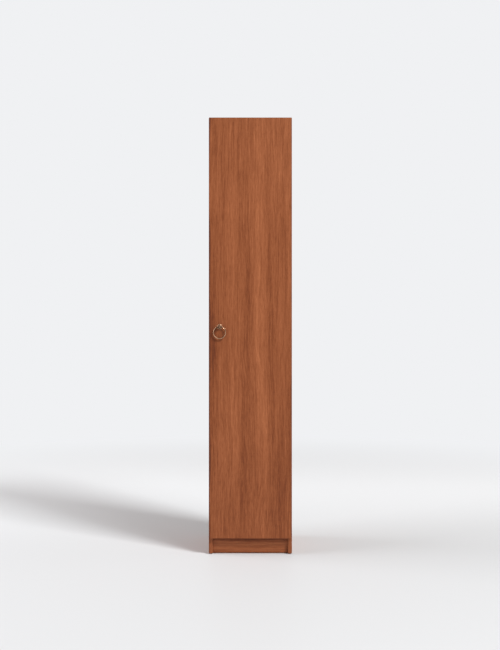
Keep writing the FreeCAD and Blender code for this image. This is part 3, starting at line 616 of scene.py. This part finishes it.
nickel = metal("hinge_nickel", tint(168, 166, 160), tint(205, 203, 197), 0.30)
zinc = metal("plated_zinc", tint(150, 152, 155), tint(190, 192, 196), 0.36, 500.0)
bronze = metal("aged_bronze", tint(50, 30, 17), tint(208, 162, 130), 0.26, 700.0, "rub_and_highlight")
screw_steel = metal("screw_steel", tint(120, 118, 114), tint(180, 177, 170), 0.34)
plastic_tints = (0.35, tint(88, 52, 34)), (0.65, tint(104, 64, 43))
brown_plastic = moulded("brown_plastic", 700.0, *plastic_tints, 0.42, 0.14, 0.3)
print("made", [finish.name for finish in (nickel, zinc, bronze, screw_steel, brown_plastic)])

# %% [markdown]
# ## Boards with eased edges
#
# No real board has a perfectly sharp arris. The edging machine leaves a small radius, and that thin
# line of light or shade is what tells the eye where one board ends. Each board is a copy of its
# solid's mesh. Its loose triangles are merged and its flat faces joined, and a Bevel modifier eases
# the corners that are left.

# %% Eased copies
def dress(obj, node, material):
    """Give a piece its finish and its body, and let it stand for the solid it covers."""
    obj.data.materials.clear()
    obj.data.materials.append(material)
    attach(obj, body_of_node[node])
    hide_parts(node)
    return obj


def eased_copy(node, radius, material, smooth=False):
    """A solid's mesh, merged and with flat faces joined, whose arrises get a small rounding."""
    mesh = frame["nodes"][node].data.copy()
    mesh.name = node + "_eased"
    shape = bmesh.new()
    shape.from_mesh(mesh)
    bmesh.ops.remove_doubles(shape, verts=shape.verts, dist=2e-6)
    bmesh.ops.dissolve_limit(shape, angle_limit=math.radians(0.5), verts=shape.verts, edges=shape.edges)
    shape.to_mesh(mesh)
    shape.free()
    if smooth:
        mesh.shade_smooth()
    else:
        mesh.shade_flat()
    obj = bpy.data.objects.new(node + "_eased", mesh)
    bpy.context.scene.collection.objects.link(obj)
    bevel = obj.modifiers.new("eased_arrises", "BEVEL")
    bevel.width = radius
    bevel.segments = 2
    bevel.limit_method = "ANGLE"
    bevel.angle_limit = math.radians(30)
    bevel.harden_normals = smooth
    return dress(obj, node, material)


print("solids to dress:", len(body_of_node))

# %% [markdown]
# ## The boards dressed
#
# Each board takes its own foil. The top ends of the two sides show from above, so these faces get a
# second foil with its grain turned. A face is picked by where it lies or by which way it looks.

# %% Boards
BOARD_EASE = 0.2 * MM
BOARD_FOILS = {
    "left_side_panel": "left",
    "right_side_panel": "right",
    "top_panel": "top",
    "bottom_panel": "bottom",
    "fixed_shelf": "shelf",
    "plinth_board": "plinth",
    "hook_rail": "rail",
    "door_panel": "door",
}


def second_finish(obj, material, chosen):
    """Give another finish to the faces that chosen picks by their centres and normals."""
    faces = obj.data.polygons
    centres, normals = np.empty(len(faces) * 3), np.empty(len(faces) * 3)
    faces.foreach_get("center", centres)
    faces.foreach_get("normal", normals)
    picked = chosen(centres.reshape(-1, 3), normals.reshape(-1, 3))
    obj.data.materials.append(material)
    faces.foreach_set("material_index", picked.astype(np.int32))
    print(obj.name, "second finish on", int(picked.sum()), "faces")


for node, which in BOARD_FOILS.items():
    piece = eased_copy(node, BOARD_EASE, foils[which])
    if which in ("left", "right"):
        second_finish(piece, foils["side_ends"], lambda centres, normals: normals[:, 2] > 0.9)
    print(piece.name, len(piece.data.polygons), "faces")
eased_copy("back_panel", BOARD_EASE, hardboard)

# %% [markdown]
# ## A form for edge bands
#
# The foil stops at the board's face, so every edge that shows gets a 1 mm plastic band, glued on and
# trimmed to a small radius. A band is a box whose corners and edges are rounded. Such a form is a
# ball pulled apart: each eighth of the ball moves to one corner, and the gaps fill with flat faces.

# %% Rounded blocks
CREASE = math.radians(35)


def rounded_block(low, high, radius, steps=3):
    """A ball of that radius whose eighths move to the corners of a smaller box.
    With n the ball's unit normal, a point is middle + sign(n) * (half - radius) + radius * n."""
    low, high = np.array(low), np.array(high)
    middle, half = (low + high) / 2, (high - low) / 2
    quarter = np.linspace(0, math.pi / 2, steps + 1)
    turn = np.concatenate([quarter + k * math.pi / 2 for k in range(4)])
    turn_sign = np.repeat([[1, 1], [-1, 1], [-1, -1], [1, -1]], steps + 1, axis=0)
    rise = np.concatenate([quarter - math.pi / 2, quarter])
    rise_sign = np.repeat([-1, 1], steps + 1)
    t, e = np.meshgrid(turn, rise, indexing="ij")
    normal = np.stack([np.cos(t) * np.cos(e), np.sin(t) * np.cos(e), np.sin(e)], -1)
    sign = np.empty_like(normal)
    sign[..., :2] = turn_sign[:, None, :]
    sign[..., 2] = rise_sign[None, :]
    points = middle + sign * (half - radius) + radius * normal
    points = np.concatenate([points, points[:1]])
    ends = [np.broadcast_to(points[:, k].mean(0), points[:, k].shape)[:, None] for k in (0, -1)]
    return np.concatenate([ends[0], points, ends[1]], 1)


def new_piece(name, grids, body, material):
    """A piece of the cupboard from grids of points, shaded smooth where faces meet gently."""
    mesh = mesh_from_grids(name, grids)
    mesh.shade_smooth()
    mesh.set_sharp_from_angle(angle=CREASE)
    mesh.materials.append(material)
    obj = bpy.data.objects.new(name, mesh)
    bpy.context.scene.collection.objects.link(obj)
    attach(obj, body)
    print(name, len(mesh.polygons), "faces, rides", body)
    return obj


# %% [markdown]
# ## The bands in place
#
# The door is banded on all four edges, with the long bands lapping the short ones. On the carcass
# only the front edges are banded. The shelf and the bottom are let into the sides, so their bands
# stop at the sides' inner faces. The door's short bands are cut from the same strip, so their grain
# is level, and they get a finish of their own.

# %% Edge bands
BAND = 1.0 * MM
DOOR_ROUND, FRONT_ROUND = 0.45 * MM, 0.35 * MM
door_low, door_high = box_of("door_edge_bands")
(left, front, foot), (right, rear, head) = door_low, door_high
(inner_left, _, inner_foot), (inner_right, _, inner_head) = box_of("door_panel")
door_strips = [
    ((left, front, foot), (inner_left, rear, head)),
    ((inner_right, front, foot), (right, rear, head)),
    ((inner_left, front, foot), (inner_right, rear, inner_foot)),
    ((inner_left, front, inner_head), (inner_right, rear, head)),
]
door_blocks = [rounded_block(low, high, DOOR_ROUND) for low, high in door_strips]
door_edging = new_piece("door_edging", door_blocks, "door", foils["door_edge"])
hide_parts("door_edge_bands")
second_finish(
    door_edging,
    foils["door_ends"],
    lambda centres, normals: (centres[:, 2] < inner_foot) | (centres[:, 2] > inner_head),
)

front_strips = []
for node in ("left_side_panel", "right_side_panel", "top_panel", "bottom_panel", "fixed_shelf"):
    low, high = box_of(node)
    ends = low[0], high[0]
    if node in ("bottom_panel", "fixed_shelf"):
        ends = -SIDE_FACE, SIDE_FACE
    front_strips.append(((ends[0], low[1] - BAND, low[2]), (ends[1], low[1], high[2])))
front_blocks = [rounded_block(low, high, FRONT_ROUND) for low, high in front_strips]
edging = new_piece("carcass_edging", front_blocks, "carcass", foils["edges"])
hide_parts("carcass_edge_bands")

# %% [markdown]
# ## Turned forms
#
# The pull, the hinge cups, the pins, the caps and the bumpers were all turned or pressed round. Each
# is a profile of radius against height, carried round an axis. A maker never leaves a sharp corner
# on such a profile, so the corners are rounded before it is turned.

# %% Profiles and turning
def turned(profile, centre, axis, steps=64):
    """Carry (radius, height) pairs round an axis: centre + h * axis + r * (cos t * a + sin t * b)."""
    axis = np.array(axis, float)
    a = np.roll(axis, 1)
    b = np.cross(axis, a)
    r, h = np.array(profile, float).T[:, :, None]
    t = np.linspace(0, 2 * math.pi, steps + 1)[None, :, None]
    return np.array(centre) + h[..., None] * axis + r[..., None] * (np.cos(t) * a + np.sin(t) * b)


def rounded_line(corners, radius, steps=5):
    """A profile through corners, each inner one replaced by a quadratic arc: with p before the corner
    c and q after it, both radius away, the arc is (1 - s)^2 p + 2 s (1 - s) c + s^2 q."""
    corners = np.array(corners, float)
    before, here, after = corners[:-2], corners[1:-1], corners[2:]
    s = np.linspace(0, 1, steps)[None, :, None]

    def toward(other):
        gap = other - here
        size = np.linalg.norm(gap, axis=1, keepdims=True)
        return here + gap / size * np.minimum(radius, size * 0.45)

    p, q, c = toward(before)[:, None], toward(after)[:, None], here[:, None]
    arcs = (1 - s) ** 2 * p + 2 * s * (1 - s) * c + s**2 * q
    return np.concatenate([corners[:1], arcs.reshape(-1, 2), corners[-1:]])


def without(obj, cutters):
    """Cut shapes away from a piece, with the result kept as its mesh."""
    tool = bpy.data.objects.new("cutter", mesh_from_grids("cutter", cutters))
    bpy.context.scene.collection.objects.link(tool)
    cut = obj.modifiers.new("cut", "BOOLEAN")
    cut.operation, cut.solver, cut.object = "DIFFERENCE", "EXACT", tool
    bpy.context.view_layer.update()
    mesh = bpy.data.meshes.new_from_object(obj.evaluated_get(bpy.context.evaluated_depsgraph_get()))
    obj.modifiers.clear()
    obj.data = mesh
    bpy.data.objects.remove(tool)
    mesh.shade_smooth()
    mesh.set_sharp_from_angle(angle=CREASE)
    print(obj.name, "cut:", len(mesh.polygons), "faces")


print("a rounded corner has", len(rounded_line([(0, 0), (1, 0), (1, 1)], 0.2)) - 2, "points")

# %% [markdown]
# ## The ring pull's plate
#
# The pull is the one ornament: a round plate on the door, a stout turned post with a cross hole, and a
# ring that hangs in the hole and swings up. Fingers keep its front and its outside bright, and the
# hollows stay dark. That wear belongs to the shape, so it is stored on the mesh's own points, where the
# bronze reads it. The plate is worn at its rim, and the rim's brightness is also a painted highlight,
# the light that the rim catches.

# %% Plate of the pull
FRONT = (0.0, -1.0, 0.0)
PLATE_RADIUS = 12.5 * MM
seat = middle_of("handle_rosette")
seat[1] = box_of("handle_rosette")[1][1]


def store_rub_and_highlight(obj, formula):
    """Store rub_and_highlight, from 0 to 1, on every point, worked out for all points at once by the
    formula.
    """
    mesh = obj.data
    where = np.empty(len(mesh.vertices) * 3, np.float32)
    mesh.vertices.foreach_get("co", where)
    values = np.clip(formula(where.reshape(-1, 3)), 0, 1).astype(np.float32)
    mesh.attributes.new("rub_and_highlight", "FLOAT", "POINT").data.foreach_set("value", values)
    print(obj.name, "rub from", round(float(values.min()), 2), "to", round(float(values.max()), 2))


def plate_rub_and_highlight(p):
    """Rub with a painted highlight: 0.08 in the middle, rising with the fourth power of the distance
    from it, so the rim is bright.
    """
    return 0.08 + 0.9 * (np.hypot(p[:, 0] - seat[0], p[:, 2] - seat[2]) / PLATE_RADIUS) ** 4


plate_line = [(0, 0), (12.45, 0), (12.45, 1.3), (11.1, 1.7), (10.5, 2.75), (9.2, 3.0), (0, 3.0)]
plate_profile = rounded_line(plate_line, 0.45) * MM
rosette = new_piece("pull_plate", [turned(plate_profile, seat, FRONT)], "door", bronze)
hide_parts("handle_rosette")
# Painted highlight: the plate's rim is made bright all round, partly as wear and partly for the light
# it catches.
store_rub_and_highlight(rosette, plate_rub_and_highlight)

# %% [markdown]
# ## The ring
#
# The ring is a torus that is a little stouter at its bottom, where fingers hold it. Its outside
# stays a true circle, so the extra goes inwards.

# %% Ring
RING_WIRE, SOLID_WIRE = 2.72 * MM, 2.75 * MM
ring_low, ring_high = box_of("handle_ring")
ring_middle = middle_of("handle_ring")
ring_radius = (ring_high[0] - ring_low[0]) / 2 - SOLID_WIRE


def ring_surface(around=128, section=28):
    """A torus hanging in the XZ plane. At the angle a round the ring and b round the wire, the point
    is middle + (R + W - w + w cos b) * (sin a, 0, cos a) + w sin b * (0, 1, 0), where the wire's
    radius is w = W (0.93 - 0.07 cos a)."""
    a, b = polar_grid(np.linspace(0, 2 * math.pi, around + 1), section)
    wire = RING_WIRE * (0.93 - 0.07 * np.cos(a))
    out = ring_radius + (RING_WIRE - wire) + wire * np.cos(b)
    flat = np.stack([out * np.sin(a), wire * np.sin(b), out * np.cos(a)], -1)
    return ring_middle + flat


def ring_rub(p):
    """Bright on the outside and the front, and towards the bottom of the ring."""
    from_middle = np.hypot(p[:, 0] - ring_middle[0], p[:, 2] - ring_middle[2])
    outward = (from_middle - ring_radius) / RING_WIRE
    front = (ring_middle[1] - p[:, 1]) / RING_WIRE
    low_down = (ring_middle[2] - p[:, 2]) / ring_radius
    return 0.12 + 0.32 * outward + 0.48 * front + 0.10 * low_down


ring = new_piece("pull_ring", [ring_surface()], "ring", bronze)
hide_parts("handle_ring")
store_rub_and_highlight(ring, ring_rub)

# %% [markdown]
# ## The post and its cross hole
#
# The post is turned, and then drilled across for the ring. The ring is curved and has to turn, so a
# straight drill would leave too little room: the hole widens outwards by just the sweep of the
# ring's curve. It is a turned form too, cut away by a Boolean whose result becomes the post's mesh.

# %% Post
HOLE_PLAY = 0.35 * MM
post_low, post_high = box_of("handle_post")
post_seat = np.array([seat[0], post_high[1], seat[2]])
post_length = post_high[1] - post_low[1]
post_line = [(0, 0), (8.15, 0), (8.15, 9.4), (7.65, 9.9), (7.65, 10.3), (7.9, 10.8)]
post_line += [(6.9, 12.6), (3.6, 13.6), (0, post_length / MM)]
post_profile = rounded_line(post_line, 0.7) * MM
post_grid = turned(post_profile, post_seat, FRONT, 72)
post = new_piece("pull_post", [post_grid], "door", bronze)

turning_line = ring_middle + np.array([0, 0, ring_radius])
reach = np.linspace(-9.5, 9.5, 25) * MM
sweep = ring_radius - np.sqrt(ring_radius**2 - reach**2)
hole_profile = np.stack([RING_WIRE + HOLE_PLAY + sweep, reach], -1)
hole_profile = np.concatenate([[[0, reach[0]]], hole_profile, [[0, reach[-1]]]])
without(post, [turned(hole_profile, turning_line, (1.0, 0.0, 0.0), 48)])
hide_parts("handle_post")
store_rub_and_highlight(post, lambda p: 0.04 + 0.39 * (post_seat[1] - p[:, 1]) / post_length)

# %% [markdown]
# ## Pressed and bent steel
#
# The hinges, hooks and bracket keep the shapes of their solids, because their holes and pins have to
# line up. What sheet steel adds is a soft edge from the press, so these pieces are merged copies
# with a fine rounding. They are shaded smooth, so that pins and eyes look round, and only the
# bracket, which has no round part, is shaded flat. The moulded floor glides are made the same way.

# %% Steel and plastic fittings
# By how a node's name starts: the rounding in millimetres, and the finish.
SOFT_EDGES = {
    "hinge_plate": (0.30, nickel),
    "hinge_arm": (0.20, nickel),
    "hinge_short_link": (0.15, nickel),
    "hinge_long_link": (0.15, nickel),
    "broom_hooks": (0.45, zinc),
    "wall_bracket": (0.35, zinc),
    "floor_glide": (0.50, brown_plastic),
}
for node in body_of_node:
    for start, (radius, material) in SOFT_EDGES.items():
        if node.startswith(start):
            piece = eased_copy(node, radius * MM, material, smooth=node != "wall_bracket")
            print(piece.name, len(piece.data.polygons), "faces")

# %% [markdown]
# ## Hinge cups
#
# A cup is drawn from sheet steel, so it is a turned form: a flat floor, a wall, and a lip that lies
# on the door. Two ears stand out from the lip for the screws. They need no second piece, because the
# lip's edge simply reaches as far as the ears do in each direction. A notch lets the links out.

# %% Cups
# In millimetres: where the ears' screws lie from the cup's middle, and the sizes of ears and lip.
EAR_SHIFT, EAR_REACH, EAR_RADIUS, LIP_RADIUS, LIP_RISE = -8.0, 24.0, 6.5, 18.2, 1.2
CUP_INSET = 20.5 * MM
DOOR_BACK = door_high[1]


def lip_reach(turn):
    """How far the lip and its ears reach at each angle: the farthest of the lip's circle, of the
    discs round the two screws, and of the straight bar between those discs. A ray leaves a disc with
    centre c at c.d + sqrt(R^2 - c.c + (c.d)^2)."""
    x, z = np.cos(turn), np.sin(turn)
    far = np.full_like(turn, LIP_RADIUS)
    for up in (-EAR_REACH, EAR_REACH):
        along = EAR_SHIFT * x + up * z
        inside = EAR_RADIUS**2 - EAR_SHIFT**2 - up**2 + along**2
        far = np.maximum(far, np.where(inside > 0, along + np.sqrt(np.maximum(inside, 0)), 0))
    to_side = (EAR_SHIFT - EAR_RADIUS) / np.minimum(x, -1e-9)
    bar = np.minimum(to_side, EAR_REACH / np.maximum(abs(z), 1e-9))
    return np.maximum(far, np.where(bar * x <= EAR_SHIFT + EAR_RADIUS, bar, 0))


def cup_surface(centre, steps=256):
    """A profile turned round the cup's axis. On the lip's rim, the radius is lip_reach."""
    line = [(0, -11.7), (16.6, -11.7), (16.6, LIP_RISE), (LIP_RADIUS, LIP_RISE)]
    line += [(LIP_RADIUS, 0.02), (17.35, 0.02), (17.35, -12.45), (0, -12.45)]
    r, h = rounded_line(line, 0.9, 4).T[:, :, None]
    turn = np.linspace(0, 2 * math.pi, steps + 1)[None, :]
    rim = np.clip((r - 17.4) / 0.35, 0, 1) * (h >= 0)
    out = (r + rim * (lip_reach(turn) - LIP_RADIUS)) * MM
    height = centre[1] + h * MM + 0 * out
    return np.stack([centre[0] + out * np.cos(turn), height, centre[2] + out * np.sin(turn)], -1)


pivots = {joint["name"]: joint["pos_m"] for joint in record["behaviour"]["joints"]}
DEEP_PIN, RIM_PIN = pivots["door_swing"][:2], pivots["long_link_turn"][:2]
CUP_X = door_high[0] - CUP_INSET
HINGE_HEIGHTS = [middle_of(f"hinge_arm_{i}")[2] for i in (1, 2, 3)]
cup_centres = [(CUP_X, DOOR_BACK, z) for z in HINGE_HEIGHTS]
cup_grids = [cup_surface(centre) for centre in cup_centres]
cups = new_piece("hinge_cup_shells", cup_grids, "door", nickel)
notches = []
for x, y, z in cup_centres:
    low = (DEEP_PIN[0], y - 4 * MM, z - 8.5 * MM)
    high = (x + 19 * MM, y + 2 * MM, z + 8.5 * MM)
    notches.append(rounded_block(low, high, 0.3 * MM))
without(cups, notches)
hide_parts("hinge_cups")

# %% [markdown]
# ## Pins of the cups
#
# Two steel pins cross each cup and carry the links. They lie on the axes that the joints turn
# about, so their places are read from the joints. The deep pin runs right across. The one at the
# rim is in two short lengths, because the short link passes between them.

# %% Pins
PIN_RADIUS, PIN_REACH, PIN_GAP = 1.23, 11.9, 5.95
spans = [(DEEP_PIN, -PIN_REACH, PIN_REACH)]
spans += [(RIM_PIN, -PIN_REACH, -PIN_GAP), (RIM_PIN, PIN_GAP, PIN_REACH)]
pins = []
for z in HINGE_HEIGHTS:
    for (x, y), low, high in spans:
        line = rounded_line([(0, low), (PIN_RADIUS, low), (PIN_RADIUS, high), (0, high)], 0.2, 3) * MM
        pins.append(turned(line, (x, y, z), (0, 0, 1), 24))
new_piece("hinge_cup_pins", pins, "door", screw_steel)

# %% [markdown]
# ## A screw head
#
# Every fitting is held by small pan-head screws with a cross recess. A head is a low dome on a polar
# grid, and the recess is pushed into it where the shorter of the two distances to the cross's arms
# is small.

# %% Screw head
def cross_head(centre, facing, radius, height, rings=15, spokes=72):
    """At (r, t) the dome is height * sqrt(1 - (0.93 r / R)^4), less a recess that fades in where
    min(|u|, |v|) < 0.13 R and max(|u|, |v|) < 0.62 R, with u = r cos(t + 20 deg) and v = r sin(t +
    20 deg)."""
    r, t = polar_grid(np.linspace(0, 1, rings), spokes)
    u, v = r * np.cos(t + math.radians(20)), r * np.sin(t + math.radians(20))
    near, far = np.minimum(abs(u), abs(v)), np.maximum(abs(u), abs(v))
    recess = 1 / (1 + np.exp((near - 0.13) * 60)) / (1 + np.exp((far - 0.62) * 40))
    dome = height * np.sqrt(1 - (0.93 * r) ** 4) - 0.62 * height * recess
    facing = np.array(facing, float)
    a = np.roll(facing, 1)
    b = np.cross(facing, a)
    flat = radius * (r * np.cos(t))[..., None] * a + radius * (r * np.sin(t))[..., None] * b
    top = np.array(centre) + flat + dome[..., None] * facing
    rim = np.array(centre) + flat[-1:]
    seat_middle = np.broadcast_to(np.array(centre, float), rim.shape)
    return np.concatenate([top, rim, seat_middle])


print("a head's grid of points:", cross_head((0, 0, 0), (0, 0, 1), 1.0, 1.0).shape[:2])

# %% [markdown]
# ## Screws of the hinges
#
# Each mounting plate has two screws into the side, each arm has two that clamp and adjust it, and
# each cup has one through each ear. All screws of one kind are one piece, since they are alike.

# %% Hinge screws
INWARDS, REARWARDS, DOWNWARDS = (-1, 0, 0), (0, 1, 0), (0, 0, -1)
# The radius and the height of each kind of head.
PLATE_HEAD, CUP_HEAD = (3.6 * MM, 1.5 * MM), (3.4 * MM, 1.3 * MM)
SMALL_HEAD, ADJUSTER_HEAD = (3.3 * MM, 1.4 * MM), (2.4 * MM, 1.4 * MM)
CARCASS_FRONT = box_of("carcass_edge_bands")[0][1]
plate_face = SIDE_FACE - 2 * MM
arm_face = SIDE_FACE - 15 * MM
flange_face = DOOR_BACK + LIP_RISE * MM

plate_screws, cup_screws, arm_screws = [], [], []
for z in HINGE_HEIGHTS:
    for up in (-1, 1):
        spot = (plate_face, CARCASS_FRONT + 37 * MM, z + up * 16 * MM)
        plate_screws.append(cross_head(spot, INWARDS, *PLATE_HEAD))
        spot = (CUP_X + EAR_SHIFT * MM, flange_face, z + up * EAR_REACH * MM)
        cup_screws.append(cross_head(spot, REARWARDS, *CUP_HEAD))
    for back, head_size in ((46, SMALL_HEAD), (31, ADJUSTER_HEAD)):
        spot = (arm_face, CARCASS_FRONT + back * MM, z)
        arm_screws.append(cross_head(spot, INWARDS, *head_size))
new_piece("hinge_plate_screws", plate_screws, "carcass", screw_steel)
new_piece("hinge_arm_screws", arm_screws, "carcass", screw_steel)
new_piece("hinge_cup_screws", cup_screws, "door", screw_steel)

# %% [markdown]
# ## Screws of the hooks, the bracket and the pull
#
# Each hook's strip has two screws into the rail, and the bracket's upper leg has two into the top.
# The pull is held by one screw from inside the door, whose wide head shows on the door's back.

# %% Other screws
HOOK_PLACES, SCREW_DROPS = (-0.1, 0.0, 0.1), (8 * MM, 28 * MM)
hook_low, hook_high = box_of("broom_hooks")
strip_face = hook_high[1] - 2.5 * MM
hook_screws = [
    cross_head((x, strip_face, hook_high[2] - drop), FRONT, *SMALL_HEAD)
    for x in HOOK_PLACES
    for drop in SCREW_DROPS
]
new_piece("hook_screws", hook_screws, "carcass", screw_steel)

angle_low, angle_high = box_of("wall_bracket")
leg_face = angle_high[2] - 2 * MM
angle_spots = [(x * MM, angle_low[1] + 12 * MM, leg_face) for x in (-8, 8)]
angle_screws = [cross_head(spot, DOWNWARDS, *SMALL_HEAD) for spot in angle_spots]
new_piece("bracket_screws", angle_screws, "carcass", screw_steel)

pull_screw = cross_head((seat[0], DOOR_BACK, seat[2]), REARWARDS, 4.0 * MM, 2.2 * MM)
new_piece("pull_screw", [pull_screw], "door", screw_steel)

# %% [markdown]
# ## Caps and bumpers
#
# The top and the fixed shelf are drawn tight by cam fittings, whose holes on the underside are
# closed with brown plastic caps. Two soft bumpers on the door's free edge keep the door 2 mm off
# the carcass. Both are small turned forms.

# %% Caps and bumpers
CAP_ROWS = (CARCASS_FRONT + 75 * MM, 135 * MM)
CAP_SIDE = SIDE_FACE - 34 * MM
cap_line = [(0, 0), (8.5, 0), (8.5, 0.35), (7.6, 0.75), (2.2, 0.8), (1.9, 0.45), (0, 0.45)]
cap_profile = rounded_line(cap_line, 0.3) * MM
cap_spots = [
    (x, y, box_of(board)[0][2])
    for board in ("top_panel", "fixed_shelf")
    for x in (-CAP_SIDE, CAP_SIDE)
    for y in CAP_ROWS
]
caps = [turned(cap_profile, spot, DOWNWARDS, 40) for spot in cap_spots]
new_piece("cam_caps", caps, "carcass", brown_plastic)

rubber_tints = (0.3, tint(150, 142, 132)), (0.7, tint(178, 170, 160))
bumper_rubber = moulded("bumper_rubber", 400.0, *rubber_tints, 0.3, 0.2)
bumper_line = rounded_line([(0, 0), (4.0, 0), (4.0, 0.9), (3.0, 1.65), (0, 1.7)], 0.5) * MM
bumper_x = middle_of("left_side_panel")[0]
bumper_heights = (door_low[2] + 60 * MM, door_high[2] - 60 * MM)
bumpers = [turned(bumper_line, (bumper_x, DOOR_BACK, z), REARWARDS, 32) for z in bumper_heights]
new_piece("door_bumpers", bumpers, "door", bumper_rubber)

# %% [markdown]
# ## Settings
#
# The Standard view shows a colour as it is written.

# %% Settings
scene = bpy.context.scene
scene.view_settings.view_transform = "Standard"
